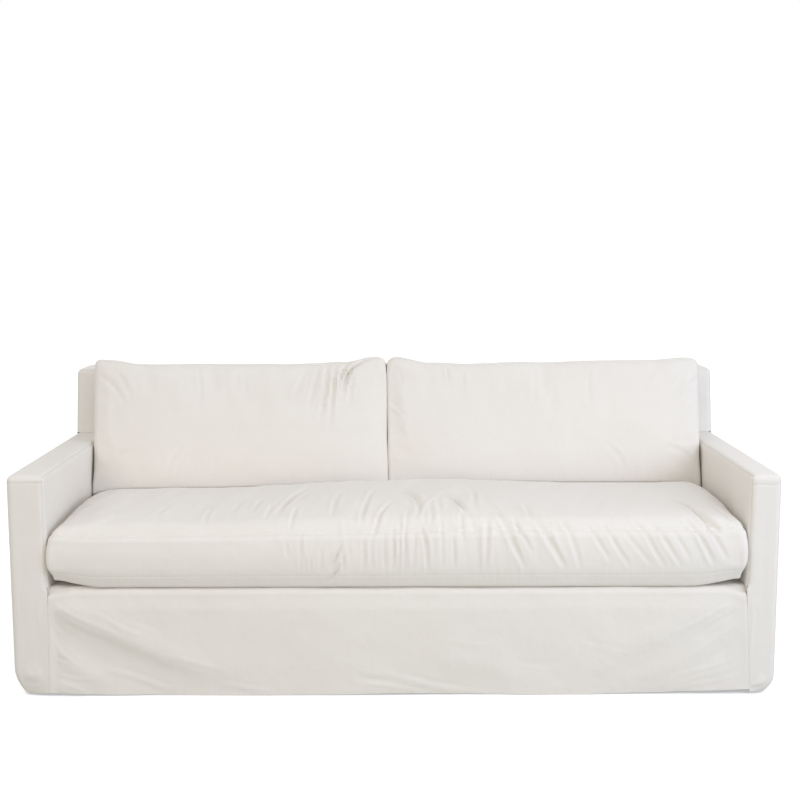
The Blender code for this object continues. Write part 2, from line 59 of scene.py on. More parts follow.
WIDTH = 2.13
DEPTH = 0.96
ARM_TOP = 0.663
BACK_TOP = 0.872
DECK_TOP = 0.346
HEM = 0.044                 # the arms' and the back's hem above the floor
BACK_THICK = 0.16           # at the top; down to the deck the front of the back comes forward by the lean
BACK_LEAN = 0.10
CLOTH = 0.0028              # thickness of the cover's cloth
SEAM_GAP = 0.0004           # between two panels that meet
EDGE_ROLL = 0.018           # radius of the cover's edges
EDGE_INSET = 0.0005         # a panel stops this far short of the middle of such an edge
FRONT_ROLL = 0.022          # radius where the skirt turns in over the deck, and how far it runs in
SKIRT_TURN_IN = 0.036
SEAM_RISE = 0.006           # from this far above the deck an arm's front corner goes flat, over so much
SEAM_BLEND = 0.014
HALF = WIDTH / 2
FAR = 9.0                   # past everything: an end where a box has no edge to round
ORIGIN = np.array((0.0, DEPTH - BACK_THICK / 2, BACK_TOP - CLOTH))

Arm = namedtuple("Arm", "name sign inner splay drop tuck tuck_top")
ARMS = (
    Arm("left", -1, -0.961, 0.006, 0.018, 0.027, 0.120),
    Arm("right", 1, 0.976, 0.017, 0.027, 0.021, 0.090),
)
LEFT, RIGHT = ARMS
TUCK_REACH = 0.24           # the drawn-in lower corner of an arm runs back this far
TUCK_BACK = 0.010
TUCK_ROUNDNESS = 2.1
ARM_LAP = 0.030             # the inside arm laps this far down behind the corner of the skirt
LAP_BACK = 0.009
TUCK_UNDER = 0.014          # the strip on an arm runs on this far under the corner of the back

FRONT_HEM = (
    (-1.00, 0.046), (-0.74, 0.040), (-0.50, 0.037), (-0.20, 0.039), (0.014, 0.043), (0.30, 0.039),
    (0.46, 0.037), (0.69, 0.042), (0.85, 0.047), (1.05, 0.055),
)

# The large folds of the solids: a soft ridge along a path, with a hollow under it. A row gives its height and
# half its width in millimetres, the hollow's share of the height, the shares of the path over which it comes
# up and dies away, and then x and z of each place on the path, in millimetres
SKIRT_FOLDS = (
    (18, 27, 0.75, 0.1, 0.6, -955, 318, -884, 271, -816, 242, -684, 182, -552, 132, -449, 106, -316, 73),
    (10, 20, 0.6, 0.2, 0.5, -953, 200, -903, 139, -843, 101, -768, 89),
    (8, 18, 0.5, 0.2, 0.4, -950, 75, -900, 62, -840, 45),
    (8, 30, 1, 0.35, 0.35, 67, 171, 162, 147, 296, 127, 360, 118),
    (12, 26, 0.8, 0.4, 0.12, 500, 90, 570, 126, 650, 184, 770, 225, 955, 315),
    (13, 24, 0.8, 0.35, 0.15, 560, 58, 704, 105, 870, 183, 965, 262),
    (9, 22, 0.7, 0.35, 0.2, 660, 52, 790, 90, 965, 135),
)
# x, and how much of the folds of the solid, and of the creases, the finished cloth shows there
FOLD_SHARE = ((-1.0, 0.42), (-0.50, 0.44), (-0.05, 0.32), (0.50, 0.20), (1.0, 0.22))
CREASE_SHARE = ((-1.0, 0.70), (-0.50, 0.70), (0.0, 0.65), (0.50, 0.50), (1.0, 0.50))
FOLD_DROP = 0.010           # the folds of the cloth lie this far below those of the solid
SKIRT_DIP = 0.011           # the skirt's top sinks towards its ends, over this reach
DIP_REACH = 0.070
SKIRT_EASE = 0.004          # the skirt leans back this far below its roll
EASE_FROM = 0.065           # from here up, below the deck, and in full so much higher
EASE_OVER = 0.045
FOLD_HOLD = 0.024           # the end seams hold the folds down this far in
CREASE_HOLD = 0.016
ARM_FRONT_FOLDS = {
    "left": ((4, 22, 0.4, 0.3, 0.3, -1045, 108, -1010, 94, -975, 104),),
    "right": ((3, 20, 0.4, 0.3, 0.3, 995, 75, 1020, 66, 1045, 82),),
}
SWAY = 0.007                # the hung panels wave by this much at the hem, and not at all above SWAY_TOP
SWAY_LENGTH = 0.36
SWAY_TOP = 0.42

SEAT_LEFT = -0.957
SEAT_RIGHT = 0.972
SEAT_FRONT = 0.000
SEAT_REAR = 0.690
SEAT_BOTTOM = DECK_TOP + 0.0015
SEAT_SEAM = 0.512
SEAT_CROWN = 0.046          # rise of the top over its seam, and what the middle of the bench has more
SEAT_HUMP = 0.019
HUMP_REACH = 0.62
SEAT_TOP_ROLL = 0.040       # the filled cover turns over its edge more softly than the solid does
SEAT_END_TOP_ROLL = 0.026
SEAT_SIDE_ROLL = 0.010
SEAT_BOTTOM_ROLL = 0.005
SEAT_END_REACH = 0.14
TOP_ROLL_FROM = 0.68        # shares of the boxing where the softer and the tighter roll set in
BOTTOM_ROLL_TO = 0.12
SEAT_TUCK = 0.005           # the lower front edge is drawn in under the cushion
TUCK_SHARE = 0.36           # over this share of the boxing, and this far back
SEAT_TUCK_REACH = 0.10
CORNER_CURL = 0.012         # the lower front corners are drawn in, this far along and back
CURL_ALONG = 0.07
CURL_BACK = 0.16
SEAT_FRONT_BULGE = 0.013
SEAT_END_BULGE = 0.0018
CROWN_FRONT = 0.30          # the crown is full this far in from the front, and from each end
CROWN_END = {"left": 0.15, "right": 0.085}
CROWN_EASE = 0.012          # softens its start at the front
CROWN_FALL = 0.30           # from here back it falls off again, over so much
CROWN_FALL_LENGTH = 0.40
CROWN_SHARPNESS = 0.6       # 1 would give a parabola, 0.5 an ellipse, which is steep at its seam
REAR_SINK = 0.008           # the weight of the back cushions sinks the rear of the seat
REAR_SINK_FROM = 0.45
CORNER_REACH = 0.08         # a front corner is drawn in over this reach, and its lower edge lifted
CORNER_DRAW = 0.001
CORNER_LIFT = 0.020
CORNER_LIFT_REACH = 0.15
SEAT_SEAM_ROWS = (
    (-0.95, -0.012), (-0.60, -0.009), (-0.10, -0.001), (0.25, 0.007), (0.60, 0.006), (0.97, 0.006),
)
SEAT_LOWER_SEAM = 0.382     # where the boxing meets the bottom panel

CUSHION_FOOT = np.array((0.0, 0.525, 0.5485))
CUSHION_HEIGHT = 0.370
CUSHION_THICK = 0.196
CUSHION_ROLL = 0.022
FOOT_ROLL = 0.005           # the weight of the cushion squares its lower edge on the seat, up to here
FOOT_ROLL_TOP = 0.10
FOOT_CLEARANCE = 0.0013
JOIN_ROLL = 0.006           # where the two cushions press on each other
PRESSED_WIDTH = 0.12        # this far from the join
PRESSED_TOP = 0.31          # and up to this height, fading over so much
PRESSED_FADE = 0.05
SETTLED_TOP = 0.14          # the cushion settles on to the seat below this height, by so much at most
SETTLE_LIMIT = 0.03
SETTLE_LIP = 0.012          # and is measured this far behind its lower front edge
UNDER_CUSHIONS = 0.525      # from here back the seat is pressed smooth
CUSHION_CROWN = 0.026
CUSHION_JOIN_TOP = -0.026
CUSHION_JOIN_FOOT = -0.019
# height up the join, and how wide it stands open there
JOIN_GAPS = (
    (0.0, 0.0016), (0.035, 0.0014), (0.075, 0.0004), (0.135, 0.0016), (0.170, 0.0008), (0.225, 0.0004),
    (0.250, 0.0012), (0.270, 0.0005), (0.310, 0.0014), (0.370, 0.0008),
)
CUSHION_EDGE_REACH = 0.22
CUSHION_LEAN = math.atan2(BACK_LEAN, BACK_TOP - DECK_TOP)
LEFT_EARS = (
    (0.0, 0.016), (0.05, 0.014), (0.16, 0.001), (0.30, 0.000), (0.70, 0.001), (0.86, 0.006), (0.96, 0.023),
    (1.0, 0.019),
)
RIGHT_EARS = (
    (0.0, 0.016), (0.03, 0.021), (0.14, 0.003), (0.26, -0.001), (0.50, 0.005), (0.84, 0.010),
    (0.95, 0.018), (1.0, 0.014),
)

# ---- creases, laid one by one ----
# A row gives a crease's height, a ridge above 0 and a trough below it, half its width, and then the places
# along its path in pairs, all in millimetres

# pairs of x, and height z on the front face
SKIRT_CREASES = (
    (3.5, 6.5, -950, 322, -905, 290, -850, 262, -770, 228),
    (-1.4, 10, -955, 300, -915, 262, -860, 228, -800, 205),
    (2.2, 8, -800, 268, -745, 238, -700, 222),
    (1.8, 7, -845, 296, -800, 272, -765, 252),
    (-1.4, 8, -735, 268, -690, 250, -655, 243),
    (2, 6, -955, 268, -940, 240, -925, 225),
    (3, 6, -952, 215, -925, 170, -885, 135),
    (-2.6, 6, -952, 166, -925, 152, -895, 148),
    (2.2, 6, -950, 118, -905, 100, -850, 94),
    (2.6, 5.5, -945, 88, -905, 78, -870, 60, -855, 46),
    (2.2, 11, -820, 125, -740, 105, -660, 75, -600, 56),
    (2, 8, -640, 170, -560, 145, -470, 120),
    (2, 10, -500, 88, -420, 70, -340, 58),
    (3.2, 12, -30, 112, 60, 85, 150, 64, 260, 52),
    (-3.4, 11, -110, 100, -60, 92, 10, 86),
    (1.8, 8, -40, 75, 30, 66, 80, 56),
    (1.2, 12, 120, 210, 200, 196, 290, 190),
    (-1.6, 12, 330, 150, 400, 136, 470, 140),
    (-1.4, 10, 500, 215, 590, 190, 660, 182),
    (2.6, 7.5, 952, 318, 900, 290, 830, 252, 760, 218),
    (-2.4, 8, 955, 290, 905, 262, 850, 226),
    (2.6, 7.5, 958, 255, 915, 224, 872, 190, 820, 158),
    (-2.2, 8, 960, 218, 920, 176, 880, 148),
    (2.4, 8.5, 962, 160, 900, 132, 830, 112, 760, 88),
    (2.2, 8, 965, 104, 900, 86, 820, 70, 740, 56),
    (1.8, 8, 700, 160, 660, 128, 640, 100),
    (1.8, 9, 610, 140, 570, 108, 555, 80),
)

# pairs of x, and height: z up the boxing, then SEAT_SEAM plus the distance back over the crown. Each runs
# downwards, so that a trough has its lip on the left
SEAT_CREASES = (
    # the fan of pleats drawn from the right end
    (-3.6, 9, 458, 540, 477, 505, 500, 440, 512, 398),
    (-4.6, 8, 530, 522, 556, 478, 576, 448, 596, 418),
    (-4.4, 7.6, 566, 536, 592, 490, 622, 442, 650, 404),
    (-3.8, 7.6, 618, 520, 652, 474, 684, 438, 706, 410),
    (-5.2, 8, 655, 545, 684, 505, 716, 448, 746, 404),
    (-4.8, 8, 704, 532, 730, 496, 762, 446, 792, 404),
    (-3.6, 7.6, 752, 524, 774, 488, 798, 450, 816, 420),
    (-5.6, 8, 798, 556, 824, 510, 852, 462, 882, 404),
    (-4.4, 7.6, 852, 530, 873, 494, 897, 452, 918, 424),
    (-3.6, 8, 806, 668, 846, 545, 882, 486, 914, 434),
    (-19, 11.5, 796, 690, 834, 605, 862, 545, 900, 490),
    (-6, 9, 896, 640, 922, 565, 948, 510),
    (2.4, 6, 818, 512, 840, 462, 870, 404),
    (2, 6, 716, 512, 738, 463, 780, 408),
    (2.4, 6, 842, 510, 868, 460, 904, 416),
    # the long pleats right of the middle
    (-6, 10.5, 262, 640, 290, 560, 320, 480, 345, 432, 362, 402),
    (-6.2, 7, 325, 560, 340, 510, 357, 480, 380, 440),
    (-6, 11, 380, 560, 412, 495, 443, 446, 470, 402),
    (3, 6, 420, 520, 446, 472, 474, 412),
    (3, 6, 330, 500, 350, 440, 368, 402),
    # gathers over the seam in the middle
    (-9, 10, 20, 760, 50, 700, 68, 625, 70, 560),
    (-5.6, 8, 98, 620, 104, 570, 98, 520),
    (-5.6, 7, 70, 540, 80, 490, 87, 440, 90, 388),
    (-4.8, 9, 120, 670, 126, 620, 124, 570),
    (-10.5, 9.5, 136, 700, 166, 665, 188, 612, 206, 545),
    (3.4, 7.5, 154, 740, 112, 670, 82, 600, 72, 535, 96, 478, 98, 392),
    (-5, 6.5, 256, 540, 254, 470, 250, 392),
    (3, 6, 240, 540, 240, 470, 238, 392),
    (2.4, 6, 268, 530, 268, 480, 266, 430),
    (-4, 7.5, 190, 590, 184, 530, 186, 480),
    (-4, 6.8, 160, 520, 162, 460, 160, 396),
    (-4.4, 6.8, 126, 560, 128, 500, 131, 396),
    (-5.2, 6.8, 40, 600, 30, 520, 27, 450, 24, 394),
    (-4, 6.5, 56, 520, 53, 460, 50, 394),
    (-4.2, 6.5, -6, 540, -4, 470, -6, 396),
    (-3.6, 6.2, 12, 530, 13, 460, 9, 396),
    (-3.6, 6.5, -28, 520, -30, 455, -27, 396),
    (-3.8, 6.5, -62, 500, -66, 450, -62, 398),
    (-4, 6.5, -88, 500, -86, 450, -89, 396),
    (-4.6, 10, 222, 740, 228, 680, 220, 600),
    (-4.4, 9.5, 366, 640, 372, 585, 378, 530),
    # over the crown, left of the middle
    (-6.8, 8, -10, 640, -34, 590, -50, 532, -62, 490),
    (-6, 8.5, -62, 750, -78, 660, -90, 580, -94, 520),
    (-5.6, 9, -160, 740, -172, 650, -175, 560),
    (-8.5, 10, -260, 800, -292, 740, -316, 650, -330, 590),
    (-6.2, 8, -280, 630, -284, 575, -288, 520),
    (-5.6, 8.5, -350, 660, -356, 610, -362, 555),
    (-4.8, 9, -390, 710, -396, 660, -402, 615),
    (-4.4, 9, -446, 700, -452, 655, -462, 615),
    (-3.4, 8.5, -520, 650, -530, 600, -528, 545),
    (-3.2, 10, -640, 690, -664, 640, -676, 590),
    # short pulls up from the lower seam
    (-7.2, 7, -146, 470, -160, 440, -178, 400),
    (-5.2, 6, -140, 452, -142, 425, -142, 396),
    (-8, 7.5, -152, 418, -164, 390, -182, 366),
    (4, 5.5, -150, 448, -156, 420, -160, 394),
    (-3.4, 6.5, -202, 470, -204, 430, -206, 394),
    (-4, 6, -232, 440, -234, 415, -233, 392),
    (-4, 6, -247, 440, -246, 415, -244, 392),
    (-3.4, 7, -256, 520, -260, 460, -258, 400),
    (-3, 6.5, -298, 490, -298, 465, -294, 435),
)

# pairs of x, and height up the lean from the cushion's foot
BACK_CREASES = (
    (-9, 9.5, -208, 362, -212, 310, -222, 250, -236, 190),
    (-7.6, 9, -186, 362, -188, 300, -196, 235, -204, 165),
    (-14, 9, -70, 368, -105, 358, -138, 336, -154, 300, -160, 262),
    (-9.5, 8, -150, 362, -164, 320, -172, 270),
    (-7, 10, -236, 362, -250, 300, -272, 225),
    (4, 8, -172, 352, -178, 300, -184, 240),
    (-5, 8.5, -120, 330, -134, 290, -140, 240),
    (-4, 11, -276, 360, -292, 310, -316, 262),
    (3.6, 7, -104, 352, -128, 330, -146, 296),
    (-2.6, 6, 91, 362, 94, 336),
    (-7, 6, 164, 360, 166, 300),
    (-3.6, 6.5, 211, 350, 211, 278),
    (2, 8, 190, 350, 187, 300, 182, 250),
    (4, 6, -14, 226, 11, 212, 36, 184),
    (-3, 6, -14, 240, 8, 232, 22, 215),
    (3.2, 6, -14, 67, 4, 70, 27, 63),
    (-2.6, 7, 0, 340, 18, 322, 26, 290),
    (-2.4, 8, -50, 345, -70, 318, -82, 280),
    (-4, 10, -930, 60, -860, 100, -800, 120),
    (-4.4, 9, -935, 320, -890, 290, -850, 240),
    (-3, 9, -900, 350, -860, 310, -830, 260),
    (-2.8, 8, -620, 352, -612, 300, -618, 240),
    (-2.6, 8, -480, 350, -470, 300, -476, 250),
    (-2.6, 10, -720, 40, -700, 90, -660, 130),
    (-2.8, 8, 420, 352, 428, 300, 424, 236),
    (-3, 8, 600, 350, 590, 290, 596, 240),
    (-4.4, 9, 945, 325, 905, 290, 865, 235),
    (-3, 9, 915, 352, 880, 318, 850, 270),
    (-3.8, 10, 945, 50, 880, 90, 820, 110),
    (-2.6, 10, 700, 36, 680, 80, 640, 120),
)

# pairs of depth y and height z on the outer side of an arm, and of x and z on the outside back
SIDE_CREASES = (
    (4, 14, 30, 300, 90, 190, 180, 90),
    (3.6, 11, 20, 160, 70, 110, 140, 60),
    (-3, 10, 20, 120, 55, 85, 100, 62),
    (-2.4, 10, 800, 640, 780, 560, 770, 460),
    (3.4, 16, 930, 420, 860, 300, 760, 180),
    (4, 20, 300, 300, 310, 180, 300, 50),
    (-4, 20, 560, 330, 575, 180, 570, 50),
)
REAR_CREASES = (
    (4, 18, -1020, 480, -930, 300, -860, 120),
    (4.2, 18, 1020, 460, 940, 280, 850, 110),
    (-4, 22, -560, 400, -570, 220, -555, 50),
    (4, 24, -120, 360, -105, 200, -120, 50),
    (-4, 22, 330, 380, 320, 210, 335, 50),
    (-2.6, 12, -980, 840, -900, 780, -820, 740),
    (-2.6, 12, 980, 840, 905, 775, 830, 745),
)

# pairs of the distance in from the outer face, and height z
ARM_FRONT_CREASES = {
    "left": (
        (1.4, 9, 30, 120, 55, 98, 85, 112),
        (-1.2, 9, 20, 88, 50, 74, 90, 82),
        (1.6, 7, 88, 330, 78, 280, 82, 230),
        (-0.8, 12, 30, 560, 34, 420, 30, 280),
    ),
    "right": (
        (1.8, 8, 16, 88, 45, 70, 78, 66),
        (-1.2, 8, 20, 66, 50, 56, 80, 56),
        (1.4, 7, 78, 320, 70, 250, 74, 150),
        (-0.8, 12, 40, 580, 46, 430, 40, 260),
    ),
}

# ---- working of the cloth ----

HOLLOW_AT = 3.0         # the hollow under a large fold, in half widths of it
HOLLOW_WIDTH = 2.4
UPPER_FLANK = 1.6       # a fold falls off more slowly above than below
LINE_WIDTH = 0.72       # the share of its row's width that a crease shows with
LIP_AT = 1.55           # the lip beside a crease, in half widths of it, and its share of the height
LIP_HEIGHT = 0.50
LIP_WIDTH = 0.75
SHOULDER_AT = 1.4       # the shoulder on the other side, in distances of the lip
SHOULDER_HEIGHT = 0.26
SHOULDER_WIDTH = 1.1
SLACK_WAVES = ((0.0011, 0.13), (0.0007, 0.058), (0.0003, 0.024))    # height and size of loose cloth's waves
GATHER_HEIGHT = 0.0020
GATHER_AT = (0.12, 0.50)        # x and height where the seat's fine gathers are strongest, and their reach
GATHER_REACH = (0.42, 0.10)
SEAT_LOOSENESS = {"top": 1.6, "sides": 0.5}
SEAT_SEAM_SHARE = {"upper": 0.12, "lower": 0.4}     # of the depth of the back cushions' seams
DECK_SINK = 0.0012      # the deck hangs this far under its seams

SEAM_REACH = 0.0036     # half the width of the valley at a seam
PUCKER_REACH = 0.014
PUCKER_LENGTH = 0.013
CUSHION_SEAM_REACH = 0.0030
CUSHION_SHOULDER_AT = 0.0075
CUSHION_SHOULDER_REACH = 0.0045
CUSHION_PUCKER_REACH = 0.018
CUSHION_PUCKER_LENGTH = 0.017
STITCH_INSET = 0.0065   # topstitching runs this far from its seam
HEM_INSET = 0.026
STITCH_PROUD = 0.0001   # how far the middle of the thread stands out of the cloth: at a seam, at a hem where
HEM_PROUD = -0.0003     # it is pulled in, and on a cushion
CUSHION_PROUD = 0.0002
FREE_REACH = 0.05       # loose cloth is held smooth this far from a seam
SHARP_EDGE = math.radians(55)

WRINKLE_STEPS = 20      # of the simulation that fills a cushion's cover
WRINKLE_ROUNDS = 16     # of evening, which leave the large swell out of the wrinkles
WRINKLE_LIMIT = 0.006

WEAVE = "weave"         # the cloth's own measure, in metres along warp and weft
YARN_PITCH = 0.0009
PLY_PITCH = 0.0012
WAVE_REPEAT = 0.314     # a wave texture of scale s repeats every 0.314 / s metres

# a panel's sides: the axis that leads away from each, and the end where it lies
SIDES = {"left": (0, 0), "right": (0, -1), "foot": (1, 0), "head": (1, -1)}

FLOOR_GAP = 0.0006      # from the lowest point of the hem to the floor
FLOOR_REACH = 14.0

stitch_rows = {"cover": [], "cushions": []}     # each row an array of places


# ---- small mathematics ----

def smooth(t):
    """0 below t = 0, 1 above t = 1 and a soft step between."""
    t = np.clip(t, 0.0, 1.0)
    return t * t * (3 - 2 * t)


def mix(a, b, t):
    return a + (b - a) * t


def read_table(rows, at):
    """The second column at a value of the first, softly stepped from row to row."""
    places, values = np.array(rows).T
    k = np.clip(np.searchsorted(places, at) - 1, 0, len(places) - 2)
    return mix(values[k], values[k + 1], smooth((at - places[k]) / (places[k + 1] - places[k])))


def graded(low, high, step, fine_low=None, fine_high=None, growth=1.28):
    """Stations from low to high, no further apart than step and closer at a fine end."""
    def run(fine):
        places = [0.0]
        gap = fine
        while fine and gap < step:
            places.append(places[-1] + gap)
            gap *= growth
        return places

    start = run(fine_low)
    end = run(fine_high)
    room = high - low - start[-1] - end[-1]
    count = max(1, math.ceil(room / step))
    middle = [low + start[-1] + room * k / count for k in range(count + 1)]
    return np.array([low + at for at in start[:-1]] + middle + [high - at for at in reversed(end[:-1])])


def joined(*runs):
    """Runs of stations that follow each other, each from the place where the last one ends."""
    return np.concatenate([runs[0]] + [run[1:] for run in runs[1:]])


def rolled(q, r, x=(-FAR, FAR), y=(-FAR, FAR), z=(-FAR, FAR)):
    """Where points of a sharp box go once its edges are rounded to radius r, and the way out there."""
    core = np.stack([np.clip(q[..., k], low + r, high - r) for k, (low, high) in enumerate((x, y, z))], -1)
    out = q - core
    out = out / np.maximum(np.linalg.norm(out, axis=-1, keepdims=True), 1e-9)
    return core + out * np.reshape(r, np.shape(r) + (1,)), out


def nearest(stations, at):
    return stations[np.argmin(np.abs(stations - at))]


def near(values, target):
    return np.abs(values - target) < 1e-6


def follow(points, a, b):
    """Distance of places (a, b) from a path, the side that they lie on, and the share of it passed."""
    pieces = len(points) - 1
    best = np.full(np.shape(a), np.inf)
    side = np.ones_like(best)
    along = np.zeros_like(best)
    for k in range(pieces):
        run = points[k + 1] - points[k]
        da, db = a - points[k][0], b - points[k][1]
        share = np.clip((da * run[0] + db * run[1]) / run.dot(run), 0.0, 1.0)
        away = np.hypot(da - run[0] * share, db - run[1] * share)
        nearer = away < best
        side = np.where(nearer, np.where(run[0] * db - run[1] * da > 0, 1.0, -1.0), side)
        along = np.where(nearer, (k + share) / pieces, along)
        best = np.where(nearer, away, best)
    return best, side, along


def curved(path, parts=5):
    """A path given in millimetres, turned to metres and eased to a curve through its points."""
    p = np.reshape(path, (-1, 2)) / 1000
    if len(p) < 3:
        return p
    p = np.vstack([2 * p[0] - p[1], p, 2 * p[-1] - p[-2]])
    made = []
    for k in range(1, len(p) - 2):
        for t in np.arange(parts) / parts:
            made.append(0.5 * (2 * p[k] + (p[k + 1] - p[k - 1]) * t
                               + (2 * p[k - 1] - 5 * p[k] + 4 * p[k + 1] - p[k + 2]) * t ** 2
                               + (3 * p[k] - p[k - 1] - 3 * p[k + 1] + p[k + 2]) * t ** 3))
    return np.array(made + [p[-2]])


def fold_height(folds, a, b):
    """The large folds' height at places (a, b)."""
    total = np.zeros(np.shape(a))
    for height, width, trough, grow, fade, *path in folds:
        away, side, along = follow(curved(path), a, b)
        across = away * side / (width / 1000)
        ridge = np.exp(-(across / np.where(across > 0, UPPER_FLANK, 1.0)) ** 2)
        hollow = trough * np.exp(-(across + HOLLOW_AT) ** 2 / HOLLOW_WIDTH ** 2)
        total += height / 1000 * smooth(along / grow) * smooth((1 - along) / fade) * (ridge - hollow)
    return total


def crease_height(creases, a, b):
    """Troughs and ridges given one by one. Cloth lies over to one side, so a trough has a sharp lip on the
    right of its path and a soft shoulder on the left, and a ridge the other way round."""
    total = np.zeros(np.shape(a))
    for height, width, *path in creases:
        away, side, along = follow(curved(path), a, b)
        across = away * side / (LINE_WIDTH * width / 1000)
        lip = math.copysign(LIP_AT, height)
        line = (np.exp(-across ** 2) - LIP_HEIGHT * np.exp(-((across - lip) / LIP_WIDTH) ** 2)
                - SHOULDER_HEIGHT * np.exp(-((across + SHOULDER_AT * lip) / SHOULDER_WIDTH) ** 2))
        total += height / 1000 * line * np.sin(math.pi * np.clip(along, 0.0, 1.0)) ** 0.7
    return total


def lumps(a, b, size, seed):
    """Smooth seeded noise from -1 to 1 with lumps of about this size; size may differ along a and b."""
    wide, tall = size if isinstance(size, tuple) else (size, size)
    a = (a - np.min(a)) / wide
    b = (b - np.min(b)) / tall
    table = np.random.default_rng(seed).uniform(-1, 1, (int(np.max(a)) + 2, int(np.max(b)) + 2))
    i, j = a.astype(int), b.astype(int)
    s, t = smooth(a - i), smooth(b - j)
    return mix(mix(table[i, j], table[i + 1, j], s), mix(table[i, j + 1], table[i + 1, j + 1], s), t)


def slack(a, b, seed):
    """The small waves of a loose washed cotton panel, in metres."""
    turned = 0.8 * a + 0.6 * b, 0.8 * b - 0.6 * a
    total = 0.0
    for number, ((height, size), way) in enumerate(zip(SLACK_WAVES, ((a, b), turned, (a, b)))):
        total = total + height * lumps(*way, size, seed + number)
    return total


# ---- makers ----

def linear(code):
    """A hex colour as the screen shows it, turned to the linear values that a shader takes."""
    parts = [int(code[k:k + 2], 16) / 255 for k in (1, 3, 5)]
    return tuple(c / 12.92 if c <= 0.04045 else ((c + 0.055) / 1.055) ** 2.4 for c in parts)


def new_piece(name, points, faces, weave, material):
    """A mesh piece from design places, moved to the frame's origin. weave holds a place for each corner."""
    mesh = bpy.data.meshes.new(name)
    mesh.from_pydata((points - ORIGIN).tolist(), [], faces.tolist())
    layer = mesh.uv_layers.new(name=WEAVE)
    layer.data.foreach_set("uv", np.asarray(weave, np.float32).ravel())
    mesh.shade_smooth()
    mesh.set_sharp_from_angle(angle=SHARP_EDGE)
    mesh.materials.append(material)
    return link(name, mesh)


def link(name, data):
    """A new object in the scene."""
    made = bpy.data.objects.new(name, data)
    bpy.context.scene.collection.objects.link(made)
    return made


def face_normals(points, faces):
    p = points[faces]
    return np.cross(p[:, 2] - p[:, 0], p[:, 3] - p[:, 1])


def point_normals(points, faces):
    normals = np.zeros_like(points)
    for k in range(4):
        np.add.at(normals, faces[:, k], face_normals(points, faces))
    return normals / np.maximum(np.linalg.norm(normals, axis=1, keepdims=True), 1e-12)


def from_side(side, places, stations, metres):
    """How far a panel's places lie from one of its sides, and how far along it."""
    axis, end = SIDES[side]
    return np.abs(places[axis] - stations[axis][end]) * metres[axis], places[1 - axis] * metres[1 - axis]


def seam_height(places, sides, stations, metres, settings):
    """How far the cloth dips into the stitching at its sewn sides, and puckers beside it."""
    total = np.zeros(places[0].shape)
    for number, side in enumerate(sides):
        away, along = from_side(side, places, stations, metres)
        valley = np.exp(-(away / SEAM_REACH) ** 2)
        pull = np.sin(2 * math.pi * along / PUCKER_LENGTH + 2.5 * np.sin(along * 29 + number))
        beside = np.exp(-(away / PUCKER_REACH) ** 2) * (1 - valley)
        total += (settings.pucker * pull * beside * (0.5 + 0.5 * np.sin(along * 17 + 2 * number))
                  - settings.seam_depth * valley)
    return total


def sew_panel(node, us, vs, surface, seams=(), relief=None, metres=(1.0, 1.0),
              keep=None, stitched=(), looseness=1.0, seed=1):
    """A sheet of cloth over a CAD panel: surface(u, v) gives the outer point and the way out there, and
    relief(u, v) the height of its creases. metres turns u and v to lengths. keep(u, v) is true where
    a notched panel has cloth. stitched lists the sides with topstitching
    and how far in it runs."""
    settings = bpy.context.scene.slipcover_sewing
    u, v = np.meshgrid(us, vs, indexing="ij")
    outer, out = surface(u, v)
    height = seam_height((u, v), seams, (us, vs), metres, settings)
    free = np.ones(u.shape)
    for side in seams:
        free *= smooth(from_side(side, (u, v), (us, vs), metres)[0] / FREE_REACH)
    height += looseness * slack(u * metres[0], v * metres[1], seed) * free * settings.looseness
    if relief:
        height += relief(u, v) * settings.creasing
    outer = outer + out * height[..., None]
    inner = outer - out * CLOTH

    wide, tall = u.shape
    index = np.arange(wide * tall).reshape(wide, tall)
    quads = np.stack([index[:-1, :-1], index[1:, :-1], index[1:, 1:], index[:-1, 1:]], -1).reshape(-1, 4)
    if keep:
        middle_u = (us[:-1] + us[1:])[:, None] / 2 + np.zeros(tall - 1)
        middle_v = (vs[:-1] + vs[1:])[None, :] / 2 + np.zeros((wide - 1, 1))
        quads = quads[keep(middle_u, middle_v).ravel()]
    points = outer.reshape(-1, 3)
    if np.sum(face_normals(points, quads) * out.reshape(-1, 3)[quads[:, 0]]) < 0:
        quads = quads[:, ::-1]
    edges = np.concatenate([quads[:, [k, (k + 1) % 4]] for k in range(4)])
    known = set(map(tuple, edges.tolist()))
    rim = np.array([edge for edge in edges.tolist() if (edge[1], edge[0]) not in known])
    total = wide * tall
    rims = np.stack([rim[:, 1], rim[:, 0], rim[:, 0] + total, rim[:, 1] + total], -1)
    faces = np.concatenate([quads, quads[:, ::-1] + total, rims])
    points = np.concatenate([points, inner.reshape(-1, 3)])
    used, faces = np.unique(faces, return_inverse=True)
    faces = faces.reshape(-1, 4)
    cloth = np.stack([u.ravel() * metres[0], v.ravel() * metres[1]], -1)
    cloth = np.concatenate([cloth, cloth])[used]
    piece = new_piece(node + "_cloth", points[used], faces, cloth[faces.ravel()], cotton("cover"))
    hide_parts(node)
    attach(piece, "root")

    for side, inset in stitched:
        axis = SIDES[side][0]
        away = from_side(side, (us, vs), (us, vs), metres)[0]
        line = int(np.argmin(np.abs(away - inset)))
        proud = HEM_PROUD if inset == HEM_INSET else STITCH_PROUD
        stitch_rows["cover"].append(np.take(outer, line, axis) + np.take(out, line, axis) * proud)


# ---- materials ----

def add_node(tree, kind, inputs=None, **settings):
    """A node with its settings; an input is a value or the output that feeds it."""
    node = tree.nodes.new(kind)
    for name, value in settings.items():
        setattr(node, name, value)
    for name, value in (inputs or {}).items():
        if isinstance(value, bpy.types.NodeSocket):
            tree.links.new(value, node.inputs[name])
        else:
            node.inputs[name].default_value = value
    return node


